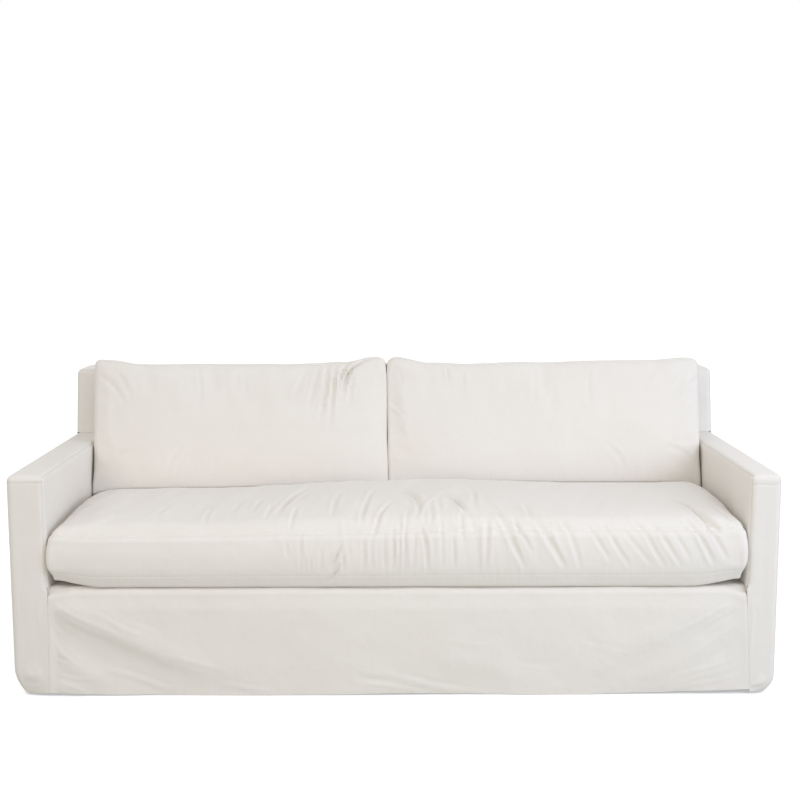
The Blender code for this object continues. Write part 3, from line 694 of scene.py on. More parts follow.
def new_material(name):
    """A new material of this name, and what adds a node to its empty tree."""
    material = bpy.data.materials.new(name)
    material.use_nodes = True
    material.node_tree.nodes.clear()
    return material, partial(add_node, material.node_tree)


def cotton(kind):
    """Washed cotton canvas, plain woven. The eye sees a matt, slightly fuzzy off-white that never quite
    lies flat: slubs in the yarn, a faint mottling from the wash and a fine crumple between the folds."""
    name = "washed_cotton_canvas_" + kind
    known = bpy.data.materials.get(name)
    if known:
        return known
    material, add = new_material(name)
    colours = bpy.context.scene.slipcover_colours
    cloth = add("ShaderNodeUVMap", uv_map=WEAVE).outputs["UV"]

    # Yarns lie as far apart as in the real canvas, warp and weft alike
    yarns = [add("ShaderNodeTexWave", {"Vector": cloth, "Scale": WAVE_REPEAT / YARN_PITCH},
                 bands_direction=way).outputs["Fac"] for way in "XY"]
    knots = add("ShaderNodeMath", {0: yarns[0], 1: yarns[1]}, operation="MULTIPLY")

    # Slubs: thick places in a yarn, about 1.5 mm across and 60 mm long, one set each way
    slubs = []
    for scale in ((16.0, 640.0, 1.0), (640.0, 16.0, 1.0)):
        place = add("ShaderNodeMapping", {"Vector": cloth, "Scale": scale})
        noise = add("ShaderNodeTexNoise", {"Vector": place.outputs["Vector"], "Scale": 1.0,
                                           "Detail": 2.0, "Roughness": 0.55})
        slubs.append(noise.outputs["Fac"])
    both = add("ShaderNodeMath", {0: slubs[0], 1: slubs[1]}, operation="ADD")
    slub = add("ShaderNodeMath", {0: both.outputs[0], 1: 0.5}, operation="MULTIPLY")

    # The wash leaves paler and greyer places about 200 mm apart
    wash = add("ShaderNodeTexNoise", {"Vector": cloth, "Scale": 5.0, "Detail": 3.0, "Roughness": 0.6})
    blend = add("ShaderNodeMapRange", {"Value": wash.outputs["Fac"], "From Min": 0.3,
                                       "From Max": 0.7, "To Min": 0.15, "To Max": 0.85})
    body = add("ShaderNodeMix", {"Factor": blend.outputs["Result"], "A": (*colours.cotton, 1.0),
                                 "B": (*colours.cotton_shade, 1.0)}, data_type="RGBA")
    yarn = add("ShaderNodeMapRange", {"Value": slub.outputs[0], "From Min": 0.35,
                                      "From Max": 0.65, "To Min": 0.988, "To Max": 1.008})
    tint = add("ShaderNodeVectorMath", {0: body.outputs["Result"], "Scale": yarn.outputs["Result"]},
               operation="SCALE")

    # Crumple: soft dents 8 to 30 mm across that the wash leaves and no iron takes out
    crumple = add("ShaderNodeTexNoise", {"Vector": cloth, "Scale": 42.0, "Detail": 4.0,
                                         "Roughness": 0.55, "Distortion": 0.4})
    rough = add("ShaderNodeMapRange", {"Value": slub.outputs[0], "From Min": 0.3, "From Max": 0.7,
                                       "To Min": 0.94, "To Max": 0.84})
    dents = add("ShaderNodeBump", {"Height": crumple.outputs["Fac"], "Strength": 0.45, "Distance": 0.0016})
    lines = add("ShaderNodeBump", {"Height": slub.outputs[0], "Strength": 0.25,
                                   "Distance": 0.00025, "Normal": dents.outputs["Normal"]})
    weave = add("ShaderNodeBump", {"Height": knots.outputs[0], "Strength": 0.4,
                                   "Distance": 0.0002, "Normal": lines.outputs["Normal"]})
    shader = add("ShaderNodeBsdfPrincipled", {
        "Base Color": tint.outputs["Vector"], "Roughness": rough.outputs["Result"],
        "Normal": weave.outputs["Normal"], "Metallic": 0.0, "IOR": 1.46, "Specular IOR Level": 0.28,
        "Sheen Weight": 0.18, "Sheen Roughness": 0.5, "Sheen Tint": (1.0, 0.99, 0.96, 1.0)})
    add("ShaderNodeOutputMaterial", {"Surface": shader.outputs["BSDF"]})
    return material


def thread_material():
    """Spun polyester sewing thread: a little whiter and smoother than the canvas, so that a row of
    stitches reads as a line of small lights, with two plies that turn round each other."""
    name = "spun_polyester_thread"
    known = bpy.data.materials.get(name)
    if known:
        return known
    material, add = new_material(name)
    place = add("ShaderNodeTexCoord").outputs["Object"]
    plies = add("ShaderNodeTexWave", {"Vector": place, "Scale": WAVE_REPEAT / PLY_PITCH},
                bands_direction="DIAGONAL")
    tone = add("ShaderNodeMix", {"Factor": plies.outputs["Fac"],
                                 "A": (*bpy.context.scene.slipcover_colours.thread, 1.0),
                                 "B": (*linear("#FBF8F0"), 1.0)}, data_type="RGBA")
    bump = add("ShaderNodeBump", {"Height": plies.outputs["Fac"], "Strength": 0.4, "Distance": 0.0001})
    shader = add("ShaderNodeBsdfPrincipled", {
        "Base Color": tone.outputs["Result"], "Roughness": 0.55, "Normal": bump.outputs["Normal"],
        "Metallic": 0.0, "Specular IOR Level": 0.4, "Sheen Weight": 0.1})
    add("ShaderNodeOutputMaterial", {"Surface": shader.outputs["BSDF"]})
    return material


def floor_material():
    """Matt white studio floor, painted board, lit from beneath for the camera, so that it runs into the
    white of the room; it throws about half the light back up."""
    material, add = new_material("matt_white_floor_paint")
    place = add("ShaderNodeTexCoord").outputs["Object"]
    roller = add("ShaderNodeTexNoise", {"Vector": place, "Scale": 160.0, "Detail": 3.0})
    bump = add("ShaderNodeBump", {"Height": roller.outputs["Fac"], "Strength": 0.1, "Distance": 0.0002})
    seen = add("ShaderNodeLightPath").outputs["Is Camera Ray"]
    paint = add("ShaderNodeMix", {"Factor": seen, "A": (*linear("#B8B8B6"), 1.0),
                                  "B": (*linear("#FAFAFA"), 1.0)}, data_type="RGBA")
    glow = add("ShaderNodeMath", {0: seen, 1: 0.40}, operation="MULTIPLY")
    shader = add("ShaderNodeBsdfPrincipled", {
        "Base Color": paint.outputs["Result"], "Roughness": 0.9, "Normal": bump.outputs["Normal"],
        "Specular IOR Level": 0.1, "Emission Color": (1.0, 1.0, 1.0, 1.0),
        "Emission Strength": glow.outputs[0]})
    add("ShaderNodeOutputMaterial", {"Surface": shader.outputs["BSDF"]})
    return material


# ---- the body cover's surfaces ----

def arm_width(arm):
    return HALF - abs(arm.inner)


def back_front(z):
    return DEPTH - BACK_THICK - BACK_LEAN * (BACK_TOP - z) / (BACK_TOP - DECK_TOP)


def sewn_flat(z):
    """1 where the front corner of an arm is sewn to the skirt, 0 above, where it is rolled."""
    return smooth((DECK_TOP + SEAM_RISE - z) / SEAM_BLEND)


def seam_across(arm, z):
    return arm_width(arm) - arm.splay * np.maximum(0.0, DECK_TOP - z) / (DECK_TOP - HEM)


def to_arm(arm, point, out):
    """From the arm's own measure, in from its outer face, to the set's, with the drawn-in lower corner."""
    across, back, up = point[..., 0], point[..., 1], point[..., 2]
    outer = (1 - smooth(back / TUCK_REACH)) * np.maximum(0.0, 1 - across / seam_across(arm, up))
    low = np.clip((arm.tuck_top - up) / (arm.tuck_top - HEM), 0.0, 1.0)
    draw = low ** TUCK_ROUNDNESS * outer
    settled = np.stack([arm.sign * (HALF - across - arm.tuck * draw), back + TUCK_BACK * draw, up], -1)
    return settled, out * np.array((-arm.sign, 1.0, 1.0))


def sway(along, z, phase):
    wave = np.sin(2 * math.pi * along / SWAY_LENGTH + phase)
    slow = np.sin(2 * math.pi * along / (2.7 * SWAY_LENGTH) + 2 * phase)
    return SWAY * smooth((SWAY_TOP - z) / SWAY_TOP) * (0.6 * wave + 0.4 * slow)


def outside_arm(arm):
    def surface(y, z):
        behind = smooth((y - back_front(ARM_TOP)) / EDGE_ROLL)
        q = np.stack([np.zeros_like(y), y, z], -1)
        point, out = rolled(q, EDGE_ROLL, x=(0.0, FAR), y=(0.0, DEPTH),
                            z=(-FAR, ARM_TOP + EDGE_ROLL * behind))
        edge = smooth(y / TUCK_REACH) * smooth((DEPTH - y) / TUCK_REACH)
        point = point + out * (sway(y, z, arm.sign) * edge)[..., None]
        return to_arm(arm, point, out)

    ys = graded(EDGE_INSET, DEPTH - EDGE_INSET, 0.010, 0.002, 0.002, 1.12)
    zs = graded(HEM, ARM_TOP - EDGE_INSET, 0.010, 0.003, 0.002, 1.12)
    sew_panel("outside_arm_" + arm.name, ys, zs, surface,
              ("left", "right", "head"),
              lambda y, z: crease_height(SIDE_CREASES, y, z) * smooth(y / 0.03) * smooth((DEPTH - y) / 0.05),
              stitched=(("head", STITCH_INSET), ("foot", HEM_INSET)), seed=11 + arm.sign)


def arm_top(arm):
    width = arm_width(arm)

    def surface(across, v):
        q = np.stack([across, np.maximum(v, 0.0), ARM_TOP + np.minimum(v, 0.0)], -1)
        point, out = rolled(q, EDGE_ROLL, x=(0.0, width), y=(0.0, FAR), z=(-FAR, ARM_TOP))
        return to_arm(arm, point, out)

    rear = back_front(ARM_TOP) + TUCK_UNDER
    xs = graded(EDGE_INSET, width - EDGE_INSET, 0.006, 0.0018, 0.0018, 1.15)
    vs = joined(graded(-arm.drop, 0.0, 0.0025, 0.0015), graded(0.0, rear, 0.009, 0.0025, 0.003, 1.12))
    sew_panel("arm_top_" + arm.name, xs, vs, surface,
              ("left", "right", "foot", "head"),
              stitched=(("left", STITCH_INSET), ("right", STITCH_INSET)), looseness=0.9, seed=21 + arm.sign)


def inside_arm(arm):
    slant_from, slant_to = 0.60, 0.70       # from here on the rows lean over to the inside back's slope

    def surface(u, z):
        rear = back_front(z) - SEAM_GAP
        y = np.where(u < slant_from, u, mix(slant_from, rear, (u - slant_from) / (slant_to - slant_from)))
        y = y + LAP_BACK * smooth((DECK_TOP - z + 0.004) / 0.006) * (1 - smooth(u / 0.05))
        face = seam_across(arm, z)
        q = np.stack([face, y, z], -1)
        point, out = rolled(q, EDGE_ROLL, x=(-FAR, face), y=(-EDGE_ROLL * sewn_flat(z), FAR),
                            z=(-FAR, ARM_TOP))
        return to_arm(arm, point, out)

    ys = graded(EDGE_INSET, slant_to, 0.009, 0.002, 0.003, 1.15)
    zs = np.concatenate([graded(DECK_TOP - ARM_LAP, DECK_TOP, 0.003),
                         graded(DECK_TOP + SEAM_GAP, ARM_TOP - EDGE_INSET, 0.008, 0.003, 0.002, 1.15)])
    sew_panel("inside_arm_" + arm.name, ys, zs, surface,
              ("left", "right", "head"),
              stitched=(("head", STITCH_INSET),), looseness=1.5, seed=31 + arm.sign)


def arm_front(arm):
    width = arm_width(arm)
    top = ARM_TOP - arm.drop - SEAM_GAP

    def across_of(share, z):
        blend = sewn_flat(z)
        return mix(EDGE_INSET, seam_across(arm, z) - mix(EDGE_INSET, SEAM_GAP / 2, blend), share)

    def surface(share, z):
        blend = sewn_flat(z)
        across = across_of(share, z)
        q = np.stack([across, np.zeros_like(z), z], -1)
        point, out = rolled(q, EDGE_ROLL, x=(0.0, seam_across(arm, z) + EDGE_ROLL * blend), y=(0.0, FAR))
        height = fold_height(ARM_FRONT_FOLDS[arm.name], arm.sign * (HALF - across), z)
        point = point + out * (height * np.sin(math.pi * share))[..., None]
        return to_arm(arm, point, out)

    def relief(share, z):
        height = crease_height(ARM_FRONT_CREASES[arm.name], across_of(share, z), z)
        return height * np.sin(math.pi * share) ** 0.5

    shares = graded(0.0, 1.0, 0.05, 0.018, 0.018, 1.2)
    zs = graded(HEM, top, 0.007, 0.003, 0.0018, 1.15)
    sew_panel("arm_front_" + arm.name, shares, zs, surface,
              ("left", "right", "head"), relief,
              metres=(width, 1.0), stitched=(("head", STITCH_INSET), ("foot", HEM_INSET)),
              looseness=0.8, seed=41 + arm.sign)


def lean(point, out):
    """Draws the front of the back forwards, the more the lower it is; its rear stays upright."""
    share = (DEPTH - point[..., 1]) / BACK_THICK
    shift = BACK_LEAN * (BACK_TOP - point[..., 2]) / (BACK_TOP - DECK_TOP) * share
    point = point.copy()
    point[..., 1] -= shift
    return point, out


def back_point(x, y, z):
    q = np.stack(np.broadcast_arrays(x, y, z), -1).astype(float)
    return rolled(q, EDGE_ROLL, x=(-HALF, HALF), y=(DEPTH - BACK_THICK, DEPTH), z=(-FAR, BACK_TOP))


def inside_back():
    left = LEFT.inner + SEAM_GAP
    right = RIGHT.inner - SEAM_GAP
    notch = ARM_TOP + SEAM_GAP

    def is_cloth(x, z):
        return (z > notch) | ((left < x) & (x < right))

    edge = HALF - EDGE_INSET
    xs = joined(graded(-edge, left, 0.010, 0.002, 0.004, 1.15),
                graded(left, right, 0.012, 0.004, 0.004, 1.15),
                graded(right, edge, 0.010, 0.004, 0.002, 1.15))
    zs = joined(graded(DECK_TOP + SEAM_GAP, notch, 0.013, 0.004, 0.004, 1.2),
                graded(notch, BACK_TOP - EDGE_INSET, 0.009, 0.004, 0.002, 1.15))
    sew_panel("inside_back", xs, zs, lambda x, z: lean(*back_point(x, DEPTH - BACK_THICK, z)),
              ("left", "right", "head"), keep=is_cloth,
              stitched=(("head", STITCH_INSET),), looseness=1.4, seed=51)


def back_top():
    front = DEPTH - BACK_THICK + EDGE_INSET
    xs = graded(EDGE_INSET - HALF, HALF - EDGE_INSET, 0.012, 0.002, 0.002, 1.15)
    ys = graded(front, DEPTH - EDGE_INSET, 0.008, 0.002, 0.002, 1.15)
    sew_panel("back_top", xs, ys, lambda x, y: lean(*back_point(x, y, BACK_TOP)),
              ("left", "right", "foot", "head"),
              stitched=(("foot", STITCH_INSET), ("head", STITCH_INSET)), looseness=1.1, seed=61)


def back_side(arm):
    front = DEPTH - BACK_THICK + EDGE_INSET
    ys = graded(front, DEPTH - EDGE_INSET, 0.008, 0.002, 0.002, 1.15)
    zs = graded(ARM_TOP + SEAM_GAP, BACK_TOP - EDGE_INSET, 0.008, 0.003, 0.002, 1.15)
    sew_panel("back_side_" + arm.name, ys, zs, lambda y, z: lean(*back_point(arm.sign * HALF, y, z)),
              ("left", "right", "foot", "head"), stitched=(("foot", STITCH_INSET),), seed=71 + arm.sign)


def outside_back():
    def surface(x, z):
        point, out = back_point(x, DEPTH, z)
        edge = smooth((HALF - np.abs(x)) / TUCK_REACH)
        return point + out * (sway(x, z, 0.5) * edge)[..., None], out

    xs = graded(EDGE_INSET - HALF, HALF - EDGE_INSET, 0.012, 0.002, 0.002, 1.15)
    zs = graded(HEM, BACK_TOP - EDGE_INSET, 0.012, 0.004, 0.002, 1.15)
    sew_panel("outside_back", xs, zs, surface,
              ("left", "right", "head"),
              lambda x, z: crease_height(REAR_CREASES, x, z) * smooth((HALF - np.abs(x)) / 0.05),
              stitched=(("head", STITCH_INSET), ("foot", HEM_INSET)), looseness=1.3, seed=81)


def deck():
    def surface(x, y):
        return np.stack([x, y, np.full_like(x, DECK_TOP)], -1), np.zeros(x.shape + (3,)) + (0.0, 0.0, 1.0)

    low, high = LEFT.inner + SEAM_GAP, RIGHT.inner - SEAM_GAP
    front, rear = SKIRT_TURN_IN + SEAM_GAP, back_front(DECK_TOP) - SEAM_GAP
    xs = graded(low, high, 0.03, 0.004, 0.004, 1.3)
    ys = graded(front, rear, 0.03, 0.004, 0.004, 1.3)
    sew_panel("deck", xs, ys, surface,
              ("left", "right", "foot", "head"), lambda x, y: np.full_like(x, -DECK_SINK),
              looseness=0.3, seed=91)


def front_skirt():
    fall = DECK_TOP - HEM
    width = RIGHT.inner - LEFT.inner

    def place(share, v):
        hem = read_table(FRONT_HEM, mix(LEFT.inner, RIGHT.inner, share))
        z = mix(hem, DECK_TOP, np.minimum(v, 1.0))
        left = seam_across(LEFT, z) - HALF + SEAM_GAP / 2
        right = HALF - seam_across(RIGHT, z) - SEAM_GAP / 2
        return mix(left, right, share), z, left, right

    def surface(share, v):
        x, z, left, right = place(share, v)
        q = np.stack([x, SKIRT_TURN_IN * np.maximum(v - 1.0, 0.0), z], -1)
        point, out = rolled(q, FRONT_ROLL, y=(0.0, FAR), z=(-FAR, DECK_TOP))
        from_end = np.minimum(x - left, right - x)
        height = fold_height(SKIRT_FOLDS, x, z + FOLD_DROP) * read_table(FOLD_SHARE, x)
        point = point + out * (height * smooth(from_end / FOLD_HOLD))[..., None]
        near_top = smooth((z - DECK_TOP + 3 * FRONT_ROLL) / (2 * FRONT_ROLL))
        flat = 1 - smooth((point[..., 1] - FRONT_ROLL / 2) / FRONT_ROLL)
        point[..., 2] -= SKIRT_DIP * (1 - smooth(from_end / DIP_REACH)) * near_top * flat
        ease = SKIRT_EASE * smooth((z - DECK_TOP + EASE_FROM) / EASE_OVER)
        point[..., 1] += ease * smooth(from_end / 0.05) * flat
        return point, out

    def relief(share, v):
        x, z, left, right = place(share, v)
        calm = smooth(np.minimum(x - left, right - x) / CREASE_HOLD) * (1 - smooth((v - 0.93) / 0.1))
        return crease_height(SKIRT_CREASES, x, z + FOLD_DROP) * read_table(CREASE_SHARE, x) * calm

    roll = FRONT_ROLL / fall
    shares = graded(0.0, 1.0, 0.0058 / width, 0.0018 / width, 0.0018 / width, 1.15)
    vs = joined(graded(0.0, 1 - 1.3 * roll, 0.0055 / fall, 0.003 / fall),
                graded(1 - 1.3 * roll, 1.0, 0.0030 / fall), 1 + graded(0.0, 1.0, 0.0030 / SKIRT_TURN_IN))
    sew_panel("front_skirt", shares, vs, surface,
              ("left", "right"), relief, metres=(width, fall),
              stitched=(("left", STITCH_INSET), ("right", STITCH_INSET), ("foot", HEM_INSET)),
              looseness=1.2, seed=101)


# ---- cushions ----

def rise(distance, reach):
    """How much of a crown has come up at a distance from the edge: steep at first, then level."""
    short = 1 - np.clip(distance / reach, 0.0, 1.0)
    return (1 - short * short) ** CROWN_SHARPNESS


def seat_lift(x, y):
    sink = REAR_SINK * smooth((y - REAR_SINK_FROM) / (SEAT_REAR - REAR_SINK_FROM))
    return read_table(SEAT_SEAM_ROWS, x) - sink


def seat_crown(x, y):
    y = np.hypot(y - SEAT_FRONT, CROWN_EASE) - CROWN_EASE + SEAT_FRONT
    hump = SEAT_HUMP * (1 - smooth(np.abs(x) / HUMP_REACH))
    ends = rise(x - SEAT_LEFT, CROWN_END["left"]) * rise(SEAT_RIGHT - x, CROWN_END["right"])
    full = (SEAT_CROWN + hump) * ends * rise(y - SEAT_FRONT, CROWN_FRONT)
    fall = np.clip((y - CROWN_FALL) / CROWN_FALL_LENGTH, 0.0, 1.0)
    return full * np.cos(fall * math.pi / 2) ** 2


def seat_shape(place):
    x, y, z = place.T
    up = (z - SEAT_BOTTOM) / (SEAT_SEAM - SEAT_BOTTOM)
    from_end = np.minimum(x - SEAT_LEFT, SEAT_RIGHT - x)
    top_roll = mix(SEAT_END_TOP_ROLL, SEAT_TOP_ROLL, smooth(from_end / SEAT_END_REACH))
    roll = (SEAT_SIDE_ROLL + (top_roll - SEAT_SIDE_ROLL) * smooth((up - TOP_ROLL_FROM) / (1 - TOP_ROLL_FROM))
            + (SEAT_BOTTOM_ROLL - SEAT_SIDE_ROLL) * smooth(1 - up / BOTTOM_ROLL_TO))
    point, out = rolled(place, roll, x=(SEAT_LEFT, SEAT_RIGHT), y=(SEAT_FRONT, SEAT_REAR),
                        z=(SEAT_BOTTOM, SEAT_SEAM))
    x, y = point[:, 0].copy(), point[:, 1].copy()
    to_middle = np.sign((SEAT_LEFT + SEAT_RIGHT) / 2 - x)
    from_end = np.minimum(x - SEAT_LEFT, SEAT_RIGHT - x)
    from_front = y - SEAT_FRONT
    level = 4 * up * (1 - up)
    point[:, 2] += np.where(z >= SEAT_SEAM - 1e-6, seat_crown(x, y), 0.0) + seat_lift(x, y) * up
    point[:, 1] -= SEAT_FRONT_BULGE * level * (1 - smooth(from_front / CORNER_REACH))
    point[:, 0] += SEAT_END_BULGE * level * out[:, 0]
    corner = smooth(1 - from_end / CORNER_REACH) * smooth(1 - from_front / CORNER_REACH)
    point[:, 0] += CORNER_DRAW * corner * to_middle
    point[:, 1] += CORNER_DRAW * corner
    end_lift = smooth(1 - from_end / CORNER_LIFT_REACH) * smooth(1 - from_front / (3 * CORNER_REACH))
    point[:, 2] += CORNER_LIFT * end_lift * smooth(1 - 2 * up)
    point[:, 1] += SEAT_TUCK * smooth(1 - up / TUCK_SHARE) * (1 - smooth(from_front / SEAT_TUCK_REACH))
    curl = CORNER_CURL * smooth(1 - 2.4 * up)
    curl *= smooth(1 - from_end / CURL_ALONG) * smooth(1 - from_front / CURL_BACK)
    point[:, 0] += curl * to_middle
    return point


def back_cushion_shape(outer, ears):
    """The mapping of a block (share across, depth, height) to one back cushion."""
    up_way = np.array((0.0, math.sin(CUSHION_LEAN), math.cos(CUSHION_LEAN)))
    back_way = np.array((0.0, math.cos(CUSHION_LEAN), -math.sin(CUSHION_LEAN)))
    toward_join = 1.0 if outer < 0 else -1.0

    def seat_top(x, y):
        return seat_crown(x, y) + seat_lift(x, y)

    def shape(place):
        share, depth, height = place.T
        join = mix(CUSHION_JOIN_FOOT, CUSHION_JOIN_TOP, height / CUSHION_HEIGHT)
        join = join - toward_join * read_table(JOIN_GAPS, height) / 2
        left, right = np.minimum(outer, join), np.maximum(outer, join)
        q = np.stack([mix(left, right, share), depth, height], -1)
        roll = mix(FOOT_ROLL, CUSHION_ROLL, smooth(height / FOOT_ROLL_TOP))
        to_join = np.abs(q[:, 0] - join)
        pressed = (1 - smooth(to_join / PRESSED_WIDTH)) * (1 - smooth((height - PRESSED_TOP) / PRESSED_FADE))
        roll = np.minimum(roll, mix(CUSHION_ROLL, JOIN_ROLL, pressed))
        point, _ = rolled(q, roll, x=(left, right), y=(0.0, CUSHION_THICK), z=(0.0, CUSHION_HEIGHT))
        from_end = np.minimum(point[:, 0] - left, right - point[:, 0])
        from_edge = np.minimum(point[:, 2], CUSHION_HEIGHT - point[:, 2])
        puff = rise(from_end, CUSHION_EDGE_REACH) * rise(from_edge, CUSHION_EDGE_REACH)
        point[:, 1] -= np.where(depth < CUSHION_THICK / 2, CUSHION_CROWN * puff, 0.0)
        over = CUSHION_FOOT[1] + point[:, 1]
        low = 1 - smooth(point[:, 2] / CUSHION_HEIGHT)
        settle = low * (seat_top(point[:, 0], over) - seat_top(0.0, over))
        point[:, 2] += read_table(ears, share) * smooth(2 * point[:, 2] / CUSHION_HEIGHT - 1) + settle
        placed = (point[:, :1] * (1.0, 0.0, 0.0) + CUSHION_FOOT + point[:, 1:2] * back_way
                  + point[:, 2:] * up_way)
        # the lower front settles on to the seat, so that no gap shows under it
        lip = CUSHION_FOOT[1] + SETTLE_LIP
        gap = CUSHION_FOOT[2] + settle - (SEAT_SEAM + seat_top(placed[:, 0], lip)) - FOOT_CLEARANCE
        placed[:, 2] -= np.clip(gap, 0.0, SETTLE_LIMIT) * (1 - smooth(point[:, 2] / SETTLED_TOP))
        return placed

    return shape


def box_skin(xs, ys, zs):
    """The skin of a block cut at these stations: its places, and its faces with their axes."""
    stations = [np.asarray(s) for s in (xs, ys, zs)]
    n = [len(s) for s in stations]
    quads, axes = [], []
    for axis in range(3):
        a, b = [k for k in range(3) if k != axis]
        i, j = np.meshgrid(np.arange(n[a] - 1), np.arange(n[b] - 1), indexing="ij")
        for end in (0, 1):
            ring = []
            for di, dj in ((0, 0), (1, 0), (1, 1), (0, 1)):
                at = [None, None, None]
                at[axis] = np.full_like(i, (n[axis] - 1) * end)
                at[a], at[b] = i + di, j + dj
                ring.append((at[0] * n[1] + at[1]) * n[2] + at[2])
            if (end == 1) == (axis == 1):
                ring.reverse()
            quads.append(np.stack(ring, -1).reshape(-1, 4))
            axes.append(np.full(len(quads[-1]), axis))
    used, faces = np.unique(np.concatenate(quads), return_inverse=True)
    places = np.stack([stations[0][used // (n[1] * n[2])], stations[1][used // n[2] % n[1]],
                       stations[2][used % n[2]]], -1)
    return places, faces.reshape(-1, 4), np.concatenate(axes)


def evened(values, faces, rounds):
    """Values spread out over the neighbouring points, to leave the large swell without its wrinkles."""
    a = faces.ravel()
    b = faces[:, [1, 2, 3, 0]].ravel()
    count = np.bincount(a, minlength=len(values)) + np.bincount(b, minlength=len(values))
    for _ in range(rounds):
        total = (np.bincount(a, values[b], len(values)) + np.bincount(b, values[a], len(values)))
        values = 0.5 * values + 0.5 * total / np.maximum(count, 1)
    return values


def fill_cover(name, points, faces, held):
    """Blows up the cover of a cushion, cut a little larger than its filling, and returns how far each
    point ends up out of the smooth shape: the wrinkles that the spare cloth makes."""
    filling = bpy.context.scene.slipcover_filling
    scene = bpy.context.scene
    mesh = bpy.data.meshes.new(name)
    mesh.from_pydata(points.tolist(), [], faces.tolist())
    trial = link(name, mesh)
    group = trial.vertex_groups.new(name="held")
    group.add(np.flatnonzero(held).tolist(), 1.0, "REPLACE")
    cloth = trial.modifiers.new("Cloth", "CLOTH")
    rules = cloth.settings
    rules.quality = 5
    rules.mass = 0.3
    rules.tension_stiffness = 15
    rules.compression_stiffness = 15
    rules.shear_stiffness = 5
    rules.bending_stiffness = filling.stiffness
    rules.use_pressure = True
    rules.uniform_pressure_force = filling.pressure
    rules.shrink_min = -filling.spare_cloth
    rules.vertex_group_mass = "held"
    rules.effector_weights.gravity = 0.0
    cloth.collision_settings.use_self_collision = False
    cloth.collision_settings.use_collision = False
    cloth.point_cache.frame_start = 1
    cloth.point_cache.frame_end = WRINKLE_STEPS
    for step in range(1, WRINKLE_STEPS + 1):
        scene.frame_set(step)
    ready = trial.evaluated_get(bpy.context.evaluated_depsgraph_get())
    made = np.zeros(len(points) * 3, np.float32)
    ready.data.vertices.foreach_get("co", made)
    scene.frame_set(1)
    bpy.data.objects.remove(trial)
    bpy.data.meshes.remove(mesh)
    moved = made.reshape(-1, 3) - points
    far = np.linalg.norm(moved, axis=1, keepdims=True)
    moved *= np.minimum(1.0, filling.swell_limit / np.maximum(far, 1e-9))
    out = np.sum(moved * point_normals(points, faces), axis=1)
    return out - evened(out, faces, WRINKLE_ROUNDS)


def carried_over(coarse_points, values, fine_points):
    """Values of a coarse skin read at the points of a fine one."""
    tree = KDTree(len(coarse_points))
    for number, point in enumerate(coarse_points):
        tree.insert(point, number)
    tree.balance()
    made = np.zeros(len(fine_points))
    for number, point in enumerate(fine_points):
        found = tree.find_n(point, 4)
        weights = np.array([1 / (away + 1e-4) ** 2 for _, _, away in found])
        made[number] = weights @ values[[k for _, k, _ in found]] / weights.sum()
    return made


def make_cushion(node, coarse, fine, shape, held, free, relief, weave_turn, seed):
    """A filled cushion over its CAD solid: the smooth shape, the wrinkles of a filled cover where it is
    free to wrinkle, and the creases given one by one and the seams."""
    settings = bpy.context.scene.slipcover_sewing
    places, faces, axes = box_skin(*fine)
    points = shape(places)
    height = np.zeros(len(points))
    rough_places, rough_faces, _ = box_skin(*coarse)
    rough = shape(rough_places)
    wrinkles = fill_cover(node + "_cover", rough, rough_faces, held(rough_places))
    wrinkles = np.clip(wrinkles, -WRINKLE_LIMIT, WRINKLE_LIMIT)
    wrinkles = carried_over(rough, wrinkles, points) * free(places)
    height += wrinkles * bpy.context.scene.slipcover_filling.wrinkling
    normals = point_normals(points, faces)
    height += relief(places) * settings.creasing
    points = points + normals * height[:, None]
    corner_place = places[faces]
    u = np.where(axes[:, None] == 0, corner_place[..., 1], corner_place[..., 0] * weave_turn)
    v = np.where(axes[:, None] == 2, corner_place[..., 1], corner_place[..., 2])
    cloth = np.stack([u, v + 0.3 * seed], -1).reshape(-1, 2)
    piece = new_piece(node + "_filled", points, faces, cloth, cotton("cushion"))
    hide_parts(node)
    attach(piece, "root")
    return places, points, normals


def seam_line(away, along, settings, side=0.0):
    """Height beside a seam in a cushion: the valley of the stitching with puckers on both sides."""
    line = 1.8 * np.exp(-(away / CUSHION_SEAM_REACH) ** 2)
    shoulder = 0.8 * np.exp(-((np.abs(away) - CUSHION_SHOULDER_AT) / CUSHION_SHOULDER_REACH) ** 2)
    pull = np.sin(2 * math.pi * along / CUSHION_PUCKER_LENGTH + 2.2 * np.sin(along * 23 + side))
    strength = (0.4 + 0.6 * np.sin(along * 9.1 + side) ** 2) * np.exp(-(away / CUSHION_PUCKER_REACH) ** 2)
    return settings.seam_depth * (shoulder - line) + settings.pucker * pull * strength


def stitch_line(points, normals, mask, order):
    """Adds a row of topstitching through the marked points of a skin, sorted by order."""
    chosen = np.flatnonzero(mask)
    chosen = chosen[np.argsort(order[chosen])]
    stitch_rows["cushions"].append(points[chosen] + normals[chosen] * CUSHION_PROUD)


